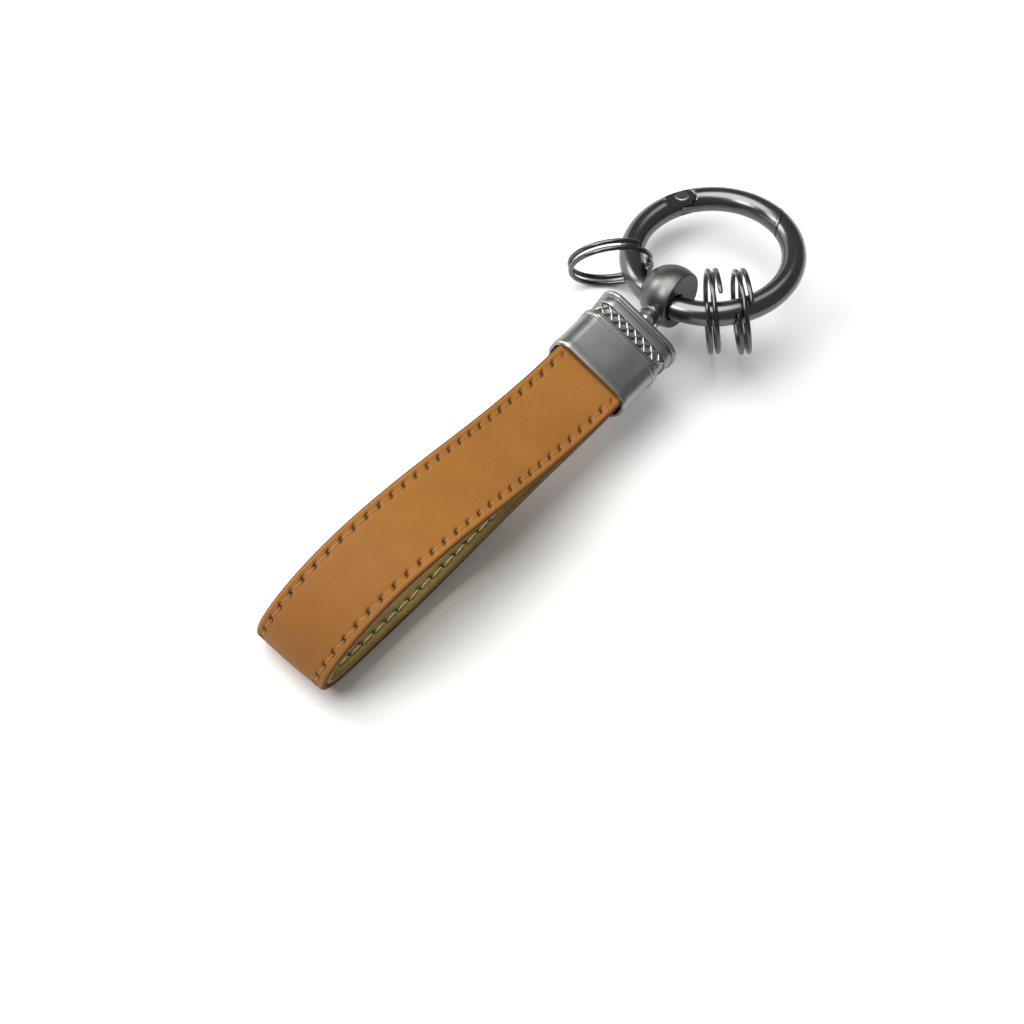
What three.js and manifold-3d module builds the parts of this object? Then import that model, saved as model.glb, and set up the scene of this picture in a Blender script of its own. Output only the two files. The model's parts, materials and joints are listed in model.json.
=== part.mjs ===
// Keychain: a folded and stitched leather strap held in a metal clamp, with a swivel ball,
// a spring-gate ring and three split rings.
// Millimetres, +Z up, +X from the strap's fold towards the ring. The strap lies on z = 0.
import * as THREE from "three";
import { mergeVertices } from "three/addons/utils/BufferGeometryUtils.js";
import Module from "manifold-3d";

const wasm = await Module();
wasm.setup();

// Heights and the swivel axis
const AXIS_Z = 12.3;

// The strap sways aside towards its fold, and rolls into line with the clamp
const SWAY_SLOPE = Math.tan(THREE.MathUtils.degToRad(2.0));
const SWAY_EASE = 12;
const CLAMP_ROLL = THREE.MathUtils.degToRad(7.0);
const ROLL_START_X = -70;

// Strap
const STRAP_WIDTH = 16.0;
const LEATHER_THICK = 1.5;
const LINING_THICK = 1.05;
const PLY_GAP = 0.06;
const PLY_OUTER = 2.8;
const STRAP_END_X = 11.8;
const EDGE_ROUND = 0.32;
const PROFILE_POINTS = 52;

// Thread rows
const ROW_OFFSET = 6.25;
const THREAD_WIDE = 0.66;
const THREAD_HIGH = 0.26;
const GROOVE_WIDE = 0.9;
const GROOVE_DEEP = 0.3;
const THREAD_END_X = 2.0;

// Clamp
const CLAMP_MOUTH_X = 2.6;
const CLAMP_LENGTH = 16.8;
const CLAMP_HALF_WIDE = 9.1;
const CLAMP_HALF_HIGH = 4.2;
const CLAMP_CORNER = 3.0;
const CLAMP_NARROWING = 0.1;
const POCKET_HALF_WIDE = 8.3;
const POCKET_HALF_HIGH = 3.05;
const POCKET_END_X = 12.3;
const WASHER_ROOM = 2.6;
const WASHER_END_X = 16.4;
const CROSS_COUNT = 8;
const CROSS_PITCH = 2.1;
const CROSS_BAR = 0.42;
const BAND_START = 11.05;
const BAND_END = 13.25;
const BAND_DEPTH = 0.45;

// Swivel
const BUSH_BORE = 1.55;
const BUSH_SPIGOT = 2.3;
const BUSH_FLANGE = 2.8;
const FLANGE_THICK = 2.3;
const STEM_RADIUS = 1.45;
const COLLAR_RADIUS = 2.35;
const BALL_RADIUS = 6.1;
const BALL_SIDES = 32;
const BALL_FACE_Y = -2.3;
const BALL_PAST_WIRE = 2.2;
const WIRE_PLAY = 0.35;

// Spring-gate ring
const RING_X = 43.1;
const RING_TILT = THREE.MathUtils.degToRad(20.1);
const RING_RADIUS = 15.7;
const WIRE_RADIUS = 2.4;
const WIRE_SIDES = 20;
const HINGE_DEG = 122;
const LATCH_DEG = 198.5;
const LIP_OUT = 1.0;
const LIP_SLOPE = 0.25;
const FORK_RADIUS = 2.35;
const SLOT_RADIUS = 2.6;
const SLOT_HALF = 1.05;
const SHOULDER_RADIUS = 2.75;
const TONGUE_RADIUS = 2.2;
const TONGUE_HALF = 0.85;
const FLAT_HALF = 1.75;
const RIVET_RADIUS = 0.9;
const LATCH_GAP = 0.3;
const BORE_RADIUS = 0.95;

// Return spring in the ring's wire
const SPRING_CURLS = 5;
const SPRING_RADIUS = 0.55;
const SPRING_WIRE = 0.12;

// Split rings: the angle on the main ring where each hangs, how its own axis is yawed in the
// main ring's plane and pitched out of it, and where its centre lies from the wire
const SPLIT_RADIUS = 7.8;
const SPLIT_WIRE = 0.5;
const SPLIT_PITCH = 1.45;
const SPLIT_TURNS = 1.96;
const SPLIT_STEPS = 28;
const SPLIT_SIDES = 7;
const SPLIT_RINGS = [
  { name: "split_ring_a", deg: 46, yaw: 46, pitch: 22, out: 4.2, up: 1.25, start: 2.6 },
  { name: "split_ring_b", deg: 323, yaw: 318, pitch: -0.8, out: -3.5, up: -2.8, start: 1.25 },
  { name: "split_ring_c", deg: 301.8, yaw: 315.5, pitch: -1.5, out: -2.85, up: -3.4, start: 1.0 },
];

// Solids

function solid(geometry) {
  const bare = new THREE.BufferGeometry();
  bare.setAttribute("position", geometry.getAttribute("position").clone());
  if (geometry.index) {
    bare.setIndex(geometry.index.clone());
  }
  const merged = mergeVertices(bare, 1e-4);
  const index = merged.index.array;
  const kept = [];
  for (let i = 0; i < index.length; i += 3) {
    const a = index[i];
    const b = index[i + 1];
    const c = index[i + 2];
    if (a !== b && b !== c && a !== c) {
      kept.push(a, b, c);
    }
  }
  return new wasm.Manifold(
    new wasm.Mesh({
      numProp: 3,
      vertProperties: new Float32Array(merged.getAttribute("position").array),
      triVerts: new Uint32Array(kept),
    }),
  );
}

function geometryOf(body) {
  const mesh = body.getMesh();
  const geometry = new THREE.BufferGeometry();
  geometry.setAttribute("position", new THREE.BufferAttribute(new Float32Array(mesh.vertProperties), 3));
  geometry.setIndex(new THREE.BufferAttribute(new Uint32Array(mesh.triVerts), 1));
  geometry.computeVertexNormals();
  return geometry;
}

function metal(color, roughness) {
  return new THREE.MeshStandardMaterial({ color, roughness, metalness: 1.0 });
}

function soft(color, roughness) {
  return new THREE.MeshStandardMaterial({ color, roughness, metalness: 0.0 });
}

function addMesh(group, name, geometry, material) {
  const mesh = new THREE.Mesh(geometry, material);
  mesh.name = name;
  group.add(mesh);
  return mesh;
}

// A box with its middle at a point.
function block(sizeX, sizeY, sizeZ, x, y, z) {
  return new THREE.BoxGeometry(sizeX, sizeY, sizeZ).translate(x, y, z);
}

// A cylinder along Z, between two heights.
function post(radius, x, y, low, high, sides = 32) {
  const geometry = new THREE.CylinderGeometry(radius, radius, high - low, sides);
  return geometry.rotateX(Math.PI / 2).translate(x, y, (low + high) / 2);
}

// A turned piece about the X axis from [x, radius] pairs.
function turned(profile, sides = 32) {
  const points = profile.map(([x, radius]) => new THREE.Vector2(radius, x));
  return new THREE.LatheGeometry(points, sides).rotateZ(-Math.PI / 2);
}

// The strap's outer face, from the clamp over the top, round the fold and back along the floor

const STRAP_CURVE = new THREE.CatmullRomCurve3(
  [
    [STRAP_END_X, AXIS_Z + PLY_OUTER],
    [6, AXIS_Z + PLY_OUTER],
    [0.8, AXIS_Z + PLY_OUTER],
    [-8, 15.6],
    [-15.9, 16.8],
    [-23.7, 18.7],
    [-31.4, 20.9],
    [-39.2, 22.7],
    [-47.1, 23.8],
    [-55.1, 24.0],
    [-63, 23.0],
    [-70.4, 20.0],
    [-75.5, 15.4],
    [-78.1, 9.6],
    [-77.5, 4.4],
    [-74.8, 1.4],
    [-70.3, 0.35],
    [-62, 0.3],
    [-52, 0.4],
    [-44, 0.9],
    [-36, 2.0],
    [-28, 3.7],
    [-20, 5.9],
    [-12, 8.0],
    [-5, 9.2],
    [0.8, AXIS_Z - PLY_OUTER],
    [6, AXIS_Z - PLY_OUTER],
    [STRAP_END_X, AXIS_Z - PLY_OUTER],
  ].map(([x, z]) => new THREE.Vector3(x, 0, z)),
  false,
  "centripetal",
);

// Points on the curve, closer together where it bends, each with the direction into the loop.
function strapProfile(count) {
  const fine = 900;
  const samples = [];
  for (let i = 0; i <= fine; i += 1) {
    const at = i / fine;
    const point = STRAP_CURVE.getPoint(at);
    const run = STRAP_CURVE.getTangent(at);
    samples.push({ x: point.x, z: point.z, inX: -run.z, inZ: run.x });
  }
  const cost = [0];
  for (let i = 1; i <= fine; i += 1) {
    const one = samples[i - 1];
    const two = samples[i];
    const step = Math.hypot(two.x - one.x, two.z - one.z);
    const bend = Math.hypot(two.inX - one.inX, two.inZ - one.inZ);
    cost.push(cost[i - 1] + step + 14 * bend);
  }
  const picked = [];
  let at = 0;
  for (let k = 0; k < count; k += 1) {
    const goal = (cost[fine] * k) / (count - 1);
    while (at < fine && cost[at] < goal - 1e-9) {
      at += 1;
    }
    picked.push(samples[at]);
  }
  return picked;
}

// A band between two depths under the outer face, as a flat outline in X and Z.
function bandShape(profile, near, far) {
  const outer = profile.map((p) => new THREE.Vector2(p.x + p.inX * near, p.z + p.inZ * near));
  const inner = profile.map((p) => new THREE.Vector2(p.x + p.inX * far, p.z + p.inZ * far));
  return new THREE.Shape([...outer, ...inner.reverse()]);
}

function bendStrap(geometry) {
  const position = geometry.getAttribute("position");
  for (let i = 0; i < position.count; i += 1) {
    const x = position.getX(i);
    const y = position.getY(i);
    const z = position.getZ(i) - AXIS_Z;
    const back = Math.max(-x, 0);
    const eased = (back * back) / (2 * SWAY_EASE);
    const sway = SWAY_SLOPE * (back < SWAY_EASE ? eased : back - SWAY_EASE / 2);
    const roll = CLAMP_ROLL * THREE.MathUtils.smoothstep(x, ROLL_START_X, 0);
    const across = y * Math.cos(roll) - z * Math.sin(roll);
    const height = y * Math.sin(roll) + z * Math.cos(roll);
    position.setXYZ(i, x, across + sway, AXIS_Z + height);
  }
  return geometry;
}

// The outline pulled out along Y, then bent as the strap lies.
function strapBand(profile, near, far, middleY, width, rounding) {
  const geometry = new THREE.ExtrudeGeometry(bandShape(profile, near, far), {
    depth: width - 2 * rounding,
    steps: rounding > 0 ? 2 : 1,
    bevelEnabled: rounding > 0,
    bevelThickness: rounding,
    bevelSize: rounding,
    bevelOffset: -rounding,
    bevelSegments: 1,
  });
  geometry.rotateX(Math.PI / 2);
  geometry.translate(0, middleY + width / 2 - rounding, 0);
  return bendStrap(geometry);
}

function buildStrap(group) {
  const profile = strapProfile(PROFILE_POINTS);
  const run = profile.filter((p) => p.x < THREAD_END_X);
  const liningNear = LEATHER_THICK + PLY_GAP;
  const liningFar = liningNear + LINING_THICK;
  let leather = solid(strapBand(profile, 0, LEATHER_THICK, 0, STRAP_WIDTH, EDGE_ROUND));
  const lining = strapBand(profile, liningNear, liningFar, 0, STRAP_WIDTH - 0.3, EDGE_ROUND * 0.7);
  // On the leather each row of thread lies in a groove, flush with the face. On the lining it stands proud.
  for (const y of [ROW_OFFSET, -ROW_OFFSET]) {
    leather = leather.subtract(solid(strapBand(run, -0.5, GROOVE_DEEP, y, GROOVE_WIDE, 0)));
  }
  addMesh(group, "strap_leather", geometryOf(leather), soft(0xb07a40, 0.75));
  addMesh(group, "strap_lining", lining, soft(0x6e6240, 0.85));
  const rows = [
    ["thread_outer_left", ROW_OFFSET, 0, THREAD_HIGH, 0xa8743a],
    ["thread_outer_right", -ROW_OFFSET, 0, THREAD_HIGH, 0xa8743a],
    ["thread_inner_left", ROW_OFFSET, liningFar + 0.03, liningFar + THREAD_HIGH, 0xd8c8a0],
    ["thread_inner_right", -ROW_OFFSET, liningFar + 0.03, liningFar + THREAD_HIGH, 0xd8c8a0],
  ];
  for (const [name, y, near, far, color] of rows) {
    addMesh(group, name, strapBand(run, near, far, y, THREAD_WIDE, 0), soft(color, 0.8));
  }
}

// Clamp: lofted rounded rectangles with a thin lip, beads and a sunk band of crosses

function roundedSection(halfWide, halfHigh, corner, x) {
  const points = [];
  const perCorner = 6;
  const corners = [
    [1, 1, 0],
    [-1, 1, 90],
    [-1, -1, 180],
    [1, -1, 270],
  ];
  for (const [sideY, sideZ, from] of corners) {
    for (let k = 0; k <= perCorner; k += 1) {
      const turn = THREE.MathUtils.degToRad(from + (90 * k) / perCorner);
      const y = sideY * (halfWide - corner) + corner * Math.cos(turn);
      const z = sideZ * (halfHigh - corner) + corner * Math.sin(turn);
      points.push(new THREE.Vector3(x, y, z));
    }
  }
  return points;
}

function loft(sections) {
  const around = sections[0].length;
  const positions = sections.flat().flatMap((p) => [p.x, p.y, p.z]);
  const index = [];
  for (let s = 0; s + 1 < sections.length; s += 1) {
    for (let k = 0; k < around; k += 1) {
      const a = s * around + k;
      const b = s * around + ((k + 1) % around);
      const c = a + around;
      const d = b + around;
      index.push(a, b, d, a, d, c);
    }
  }
  const last = (sections.length - 1) * around;
  for (let k = 1; k + 1 < around; k += 1) {
    index.push(0, k + 1, k);
    index.push(last, last + k, last + k + 1);
  }
  const geometry = new THREE.BufferGeometry();
  geometry.setAttribute("position", new THREE.Float32BufferAttribute(positions, 3));
  geometry.setIndex(index);
  return geometry;
}

function buildClamp(group) {
  // Distance from the mouth, and how far the skin stands out from the plain body.
  const steps = [
    [0, -0.3],
    [0.25, 0.0],
    [0.7, 0.1],
    [1.6, 0.05],
    [2.4, 0],
    [9.0, 0],
    [9.15, 0.16],
    [9.6, 0.26],
    [10.05, 0.16],
    [10.2, 0],
    [BAND_START - 0.15, 0],
    [BAND_START, -BAND_DEPTH],
    [BAND_END, -BAND_DEPTH],
    [BAND_END + 0.15, 0],
    [15.1, 0],
    [15.25, -0.22],
    [15.5, -0.22],
    [15.65, 0.2],
    [16.0, 0.28],
    [16.5, 0.16],
    [CLAMP_LENGTH, -0.3],
  ];
  const sections = steps.map(([along, grow]) => {
    const narrow = (CLAMP_NARROWING * along) / CLAMP_LENGTH;
    const halfWide = CLAMP_HALF_WIDE - narrow + grow;
    return roundedSection(halfWide, CLAMP_HALF_HIGH + grow, CLAMP_CORNER, CLAMP_MOUTH_X + along);
  });
  let body = solid(loft(sections));
  // Crosses stand in the sunk band on both broad faces, and the outer ones follow the rounded corners.
  const bandMiddle = CLAMP_MOUTH_X + (BAND_START + BAND_END) / 2;
  const barLength = Math.hypot(BAND_END - BAND_START, CROSS_PITCH) - 0.3;
  const barAngle = Math.atan2(CROSS_PITCH, BAND_END - BAND_START);
  const barHigh = 0.6;
  const flatHalf = CLAMP_HALF_WIDE - BAND_DEPTH - CLAMP_CORNER;
  const cornerZ = CLAMP_HALF_HIGH - BAND_DEPTH - CLAMP_CORNER;
  for (const side of [1, -1]) {
    for (let k = 0; k < CROSS_COUNT; k += 1) {
      const run = (k - (CROSS_COUNT - 1) / 2) * CROSS_PITCH;
      const flat = THREE.MathUtils.clamp(run, -flatHalf, flatHalf);
      const around = (run - flat) / CLAMP_CORNER;
      for (const lean of [1, -1]) {
        const bar = new THREE.BoxGeometry(barLength, CROSS_BAR, barHigh);
        bar.rotateZ(lean * barAngle);
        bar.translate(0, 0, CLAMP_CORNER + 0.08);
        bar.rotateX(-around);
        bar.translate(bandMiddle, flat, cornerZ);
        if (side < 0) {
          bar.rotateX(Math.PI);
        }
        body = body.add(solid(bar));
      }
    }
  }
  const pocket = loft([
    roundedSection(POCKET_HALF_WIDE, POCKET_HALF_HIGH, 0.4, CLAMP_MOUTH_X - 1),
    roundedSection(POCKET_HALF_WIDE, POCKET_HALF_HIGH, 0.4, POCKET_END_X),
  ]);
  body = body.subtract(solid(pocket));
  const washerRoom = turned(
    [
      [POCKET_END_X - 1, 0],
      [POCKET_END_X - 1, WASHER_ROOM],
      [WASHER_END_X, WASHER_ROOM],
      [WASHER_END_X, 0],
    ],
    40,
  );
  body = body.subtract(solid(washerRoom));
  const bore = turned(
    [
      [WASHER_END_X - 1, 0],
      [WASHER_END_X - 1, BUSH_SPIGOT + 0.1],
      [CLAMP_MOUTH_X + CLAMP_LENGTH + 1, BUSH_SPIGOT + 0.1],
      [CLAMP_MOUTH_X + CLAMP_LENGTH + 1, 0],
    ],
    40,
  );
  body = body.subtract(solid(bore));
  const clamp = addMesh(group, "clamp_shell", geometryOf(body), metal(0x7b7d7c, 0.38));
  clamp.position.z = AXIS_Z;
  clamp.rotation.x = CLAMP_ROLL;
}

function buildBush(group) {
  const top = CLAMP_MOUTH_X + CLAMP_LENGTH;
  const bush = turned(
    [
      [WASHER_END_X, BUSH_BORE],
      [WASHER_END_X, BUSH_SPIGOT],
      [top + 0.08, BUSH_SPIGOT],
      [top + 0.08, BUSH_FLANGE - 0.25],
      [top + 0.35, BUSH_FLANGE],
      [top + FLANGE_THICK - 0.6, BUSH_FLANGE],
      [top + FLANGE_THICK - 0.15, BUSH_FLANGE - 0.35],
      [top + FLANGE_THICK, BUSH_FLANGE - 0.8],
      [top + FLANGE_THICK, BUSH_BORE],
      [WASHER_END_X, BUSH_BORE],
    ],
    32,
  );
  const mesh = addMesh(group, "swivel_bush", bush, metal(0xc9c9c6, 0.16));
  mesh.position.z = AXIS_Z;
}

// Curves for the wire pieces, in the ring's own plane

class RingArc extends THREE.Curve {
  constructor(fromDeg, toDeg) {
    super();
    this.from = THREE.MathUtils.degToRad(fromDeg);
    this.to = THREE.MathUtils.degToRad(toDeg);
  }

  getPoint(at, target = new THREE.Vector3()) {
    const turn = this.from + (this.to - this.from) * at;
    return target.set(-RING_RADIUS * Math.cos(turn), RING_RADIUS * Math.sin(turn), 0);
  }
}

class Coil extends THREE.Curve {
  constructor(center, first, second, radius, pitch, turns, start) {
    super();
    this.center = center;
    this.first = first;
    this.second = second;
    this.axis = first.clone().cross(second);
    this.radius = radius;
    this.pitch = pitch;
    this.turns = turns;
    this.start = start;
  }

  getPoint(at, target = new THREE.Vector3()) {
    const turn = this.start + 2 * Math.PI * this.turns * at;
    target.copy(this.center);
    target.addScaledVector(this.first, this.radius * Math.cos(turn));
    target.addScaledVector(this.second, this.radius * Math.sin(turn));
    return target.addScaledVector(this.axis, this.pitch * this.turns * (at - 0.5));
  }
}

function circleShape(radius, sides) {
  const points = [];
  for (let k = 0; k < sides; k += 1) {
    const turn = (2 * Math.PI * k) / sides;
    points.push(new THREE.Vector2(radius * Math.cos(turn), radius * Math.sin(turn)));
  }
  return new THREE.Shape(points);
}

function wireAlong(curve, radius, sides, steps) {
  return new THREE.ExtrudeGeometry(circleShape(radius, sides), {
    steps,
    bevelEnabled: false,
    extrudePath: curve,
  });
}

// Least gap between neighbouring turns of a coil, measured on points.
function coilGap(curve, wire) {
  const perTurn = 60;
  const count = Math.ceil(perTurn * curve.turns);
  const points = [];
  for (let k = 0; k <= count; k += 1) {
    points.push(curve.getPoint(k / count));
  }
  let least = Infinity;
  for (let i = 0; i < points.length; i += 1) {
    for (let j = i + perTurn / 2; j < points.length; j += 1) {
      least = Math.min(least, points[i].distanceTo(points[j]));
    }
  }
  return least - 2 * wire;
}

function ringPoint(deg, radius = RING_RADIUS) {
  const turn = THREE.MathUtils.degToRad(deg);
  return new THREE.Vector3(-radius * Math.cos(turn), radius * Math.sin(turn), 0);
}

function ringTangent(deg) {
  const turn = THREE.MathUtils.degToRad(deg);
  return new THREE.Vector3(Math.sin(turn), Math.cos(turn), 0);
}

const HINGE = ringPoint(HINGE_DEG);
const LATCH_OUT = ringPoint(LATCH_DEG).normalize();
const LATCH_ON = ringTangent(LATCH_DEG);
const LATCH_TIP = LATCH_OUT.clone().multiplyScalar(RING_RADIUS + LIP_OUT);
const GATE_REACH = LATCH_TIP.distanceTo(HINGE);

// Everything outside the slanted lip line at the latch, moved outward by a clearance.
function outsideLip(clearance) {
  const run = LATCH_OUT.clone().multiplyScalar(LIP_SLOPE).addScaledVector(LATCH_ON, -1).normalize();
  const away = new THREE.Vector3(-run.y, run.x, 0);
  if (away.dot(LATCH_OUT) < 0) {
    away.negate();
  }
  const middle = LATCH_TIP.clone().addScaledVector(away, 4 + clearance);
  const geometry = new THREE.BoxGeometry(24, 8, 8);
  geometry.rotateZ(Math.atan2(run.y, run.x));
  return solid(geometry.translate(middle.x, middle.y, 0));
}

// A cylinder about the gate's hinge.
function aboutHinge(radius, low, high, sides = 40) {
  return solid(post(radius, HINGE.x, HINGE.y, low, high, sides));
}

// The direction of the plunger's bore: along the wire, away from the gate.
const BORE_RUN = ringPoint(HINGE_DEG - 24).sub(HINGE).normalize();

function alongBore(radius, near, far, sides = 20) {
  const geometry = new THREE.CylinderGeometry(radius, radius, far - near, sides);
  geometry.translate(0, (near + far) / 2, 0);
  geometry.rotateZ(Math.atan2(BORE_RUN.y, BORE_RUN.x) - Math.PI / 2);
  return geometry.translate(HINGE.x, HINGE.y, 0);
}

function buildRing(group) {
  const around = LATCH_DEG - 16;
  const main = solid(wireAlong(new RingArc(around, 360 + HINGE_DEG), WIRE_RADIUS, WIRE_SIDES, 54));
  const nose = solid(wireAlong(new RingArc(HINGE_DEG - 5, HINGE_DEG + 12), WIRE_RADIUS, WIRE_SIDES, 4));
  let body = main.add(nose.intersect(aboutHinge(FORK_RADIUS, -4, 4)));
  const nearLatch = ringPoint(LATCH_DEG - 6);
  const latchZone = solid(block(16, 16, 8, nearLatch.x, nearLatch.y, 0));
  const reach = aboutHinge(GATE_REACH + LATCH_GAP, -4, 4, 120);
  body = body.subtract(reach.intersect(latchZone).subtract(outsideLip(LATCH_GAP)));
  body = body.subtract(aboutHinge(SLOT_RADIUS, -SLOT_HALF, SLOT_HALF));
  body = body.subtract(aboutHinge(3.4, FLAT_HALF, 5));
  body = body.subtract(aboutHinge(3.4, -5, -FLAT_HALF));
  body = body.subtract(aboutHinge(RIVET_RADIUS + 0.1, -4, 4, 24));
  body = body.subtract(solid(alongBore(BORE_RADIUS, 1, 8.2)));
  addMesh(group, "ring_body", geometryOf(body), metal(0x3a3b3d, 0.22));
}

function buildGate(group) {
  const arc = solid(wireAlong(new RingArc(HINGE_DEG - 4, LATCH_DEG + 16), WIRE_RADIUS, WIRE_SIDES, 20));
  let gate = arc.intersect(aboutHinge(GATE_REACH, -4, 4, 120));
  gate = gate.subtract(outsideLip(0));
  gate = gate.subtract(aboutHinge(SHOULDER_RADIUS, -4, 4));
  const behind = HINGE.clone().addScaledVector(ringTangent(HINGE_DEG), -6.0);
  const behindBox = new THREE.BoxGeometry(12, 12, 8);
  behindBox.rotateZ(Math.atan2(ringTangent(HINGE_DEG).y, ringTangent(HINGE_DEG).x));
  gate = gate.subtract(solid(behindBox.translate(behind.x, behind.y, 0)));
  const neckBox = new THREE.BoxGeometry(3.6, 8, 2 * TONGUE_HALF);
  neckBox.translate(1.8, 0, 0);
  neckBox.rotateZ(Math.atan2(ringTangent(HINGE_DEG).y, ringTangent(HINGE_DEG).x));
  const neck = arc.intersect(solid(neckBox.translate(HINGE.x, HINGE.y, 0)));
  let tongue = neck.add(aboutHinge(TONGUE_RADIUS, -TONGUE_HALF, TONGUE_HALF));
  // A flat on the tongue's heel gives the plunger a seat.
  const heel = new THREE.BoxGeometry(2, 6, 4);
  heel.translate(1.9 + 1.0, 0, 0);
  heel.rotateZ(Math.atan2(BORE_RUN.y, BORE_RUN.x));
  tongue = tongue.subtract(solid(heel.translate(HINGE.x, HINGE.y, 0)));
  gate = gate.add(tongue);
  gate = gate.subtract(aboutHinge(RIVET_RADIUS + 0.15, -4, 4, 24));
  addMesh(group, "ring_gate", geometryOf(gate), metal(0x3a3b3d, 0.22));
}

function buildRivet(group) {
  const head = 1.45;
  const seat = FLAT_HALF + 0.06;
  const rivet = turned(
    [
      [-seat - 0.3, 0],
      [-seat - 0.36, head * 0.55],
      [-seat - 0.2, head * 0.9],
      [-seat, head],
      [-seat, RIVET_RADIUS],
      [seat, RIVET_RADIUS],
      [seat, head],
      [seat + 0.2, head * 0.9],
      [seat + 0.36, head * 0.55],
      [seat + 0.05, 0],
    ],
    24,
  );
  rivet.rotateY(-Math.PI / 2);
  const mesh = addMesh(group, "gate_rivet", rivet, metal(0x55565a, 0.25));
  mesh.position.copy(HINGE);
}

function buildReturnSpring(group) {
  const plunger = alongBore(BORE_RADIUS - 0.12, 2.45, 4.3, 20);
  addMesh(group, "gate_plunger", plunger, metal(0x9a9b9c, 0.3));
  const near = 4.45;
  const far = 8.05;
  const room = far - near - 2 * SPRING_WIRE;
  const side = new THREE.Vector3(-BORE_RUN.y, BORE_RUN.x, 0);
  const up = BORE_RUN.clone().cross(side);
  const middle = HINGE.clone().addScaledVector(BORE_RUN, (near + far) / 2);
  const coil = new Coil(middle, side, up, SPRING_RADIUS, room / SPRING_CURLS, SPRING_CURLS, 0);
  console.log("gate_spring least gap to itself, mm:", coilGap(coil, SPRING_WIRE).toFixed(3));
  const spring = wireAlong(coil, SPRING_WIRE, 5, SPRING_CURLS * 8);
  addMesh(group, "gate_spring", spring, metal(0xa0a1a2, 0.35));
}

// Swivel head: a ball with one flat face, bored for the ring's wire, on a collared stem
function buildSwivelHead(group) {
  const ballX = RING_X - RING_RADIUS + BALL_PAST_WIRE;
  const flangeEnd = CLAMP_MOUTH_X + CLAMP_LENGTH + FLANGE_THICK;
  const stem = turned(
    [
      [14.7, 0],
      [14.7, 2.0],
      [15.3, 2.0],
      [15.3, STEM_RADIUS],
      [flangeEnd + 0.15, STEM_RADIUS],
      [flangeEnd + 0.15, COLLAR_RADIUS - 0.25],
      [flangeEnd + 0.4, COLLAR_RADIUS],
      [flangeEnd + 0.9, COLLAR_RADIUS],
      [flangeEnd + 1.1, COLLAR_RADIUS - 0.25],
      [flangeEnd + 1.2, 1.85],
      [flangeEnd + 1.6, 1.8],
      [ballX - 3.8, 2.7],
      [ballX - 3.8, 0],
    ],
    32,
  );
  const ball = new THREE.SphereGeometry(BALL_RADIUS, BALL_SIDES, 20).rotateX(Math.PI / 2);
  let body = solid(ball.translate(ballX, 0, 0)).add(solid(stem));
  const face = block(20, 8, 20, ballX + 1, BALL_FACE_Y - 4, 0);
  const keepStem = turned(
    [
      [10, 0],
      [10, 4],
      [flangeEnd + 1.5, 4],
      [flangeEnd + 1.5, 0],
    ],
    24,
  );
  body = body.subtract(solid(face).subtract(solid(keepStem)));
  const bore = wireAlong(new RingArc(-30, 30), WIRE_RADIUS + WIRE_PLAY, 24, 12);
  bore.translate(RING_X, 0, 0);
  body = body.subtract(solid(bore));
  addMesh(group, "swivel_head", geometryOf(body), metal(0x4a4b4d, 0.36));
  const washer = turned(
    [
      [15.4, STEM_RADIUS + 0.1],
      [15.4, 2.3],
      [16.3, 2.3],
      [16.3, STEM_RADIUS + 0.1],
      [15.4, STEM_RADIUS + 0.1],
    ],
    28,
  );
  addMesh(group, "swivel_washer", washer, metal(0xb0b1b2, 0.3));
}

function buildSplitRings(group) {
  for (const spec of SPLIT_RINGS) {
    const yaw = THREE.MathUtils.degToRad(spec.yaw);
    const pitch = THREE.MathUtils.degToRad(spec.pitch);
    const level = Math.cos(pitch);
    const axis = new THREE.Vector3(Math.sin(yaw) * level, Math.cos(yaw) * level, Math.sin(pitch));
    const up = new THREE.Vector3(0, 0, 1).addScaledVector(axis, -axis.z).normalize();
    const out = up.clone().cross(axis);
    const center = ringPoint(spec.deg).addScaledVector(out, spec.out).addScaledVector(up, spec.up);
    const coil = new Coil(center, out, up, SPLIT_RADIUS, SPLIT_PITCH, SPLIT_TURNS, spec.start);
    console.log(spec.name, "least gap to itself, mm:", coilGap(coil, SPLIT_WIRE).toFixed(3));
    const steps = Math.round(SPLIT_STEPS * SPLIT_TURNS);
    addMesh(group, spec.name, wireAlong(coil, SPLIT_WIRE, SPLIT_SIDES, steps), metal(0x2f3032, 0.2));
  }
}

// Assembly: the ring side hangs in a group tilted about the swivel axis

const keychain = new THREE.Group();
keychain.name = "leather_keychain";
const assembly = new THREE.Group();
keychain.add(assembly);

buildStrap(assembly);
buildClamp(assembly);
buildBush(assembly);

const swivel = new THREE.Group();
swivel.position.set(0, 0, AXIS_Z);
swivel.rotation.x = -RING_TILT;
assembly.add(swivel);
buildSwivelHead(swivel);

const ring = new THREE.Group();
ring.position.set(RING_X, 0, 0);
swivel.add(ring);
buildRing(ring);
buildGate(ring);
buildRivet(ring);
buildReturnSpring(ring);
buildSplitRings(ring);

// The origin is the middle of the whole piece, on the surface that it lies on.
keychain.updateMatrixWorld(true);
const extent = new THREE.Box3().setFromObject(keychain, true);
const middle = extent.getCenter(new THREE.Vector3());
assembly.position.set(-middle.x, -middle.y, -extent.min.z);
console.log("origin moved by", assembly.position.toArray().map((value) => value.toFixed(4)).join(" "));

export default keychain;
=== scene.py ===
"""Leather keychain: a stitched strap loop in a metal clamp, with a swivel ball, a ring and split rings."""

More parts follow.
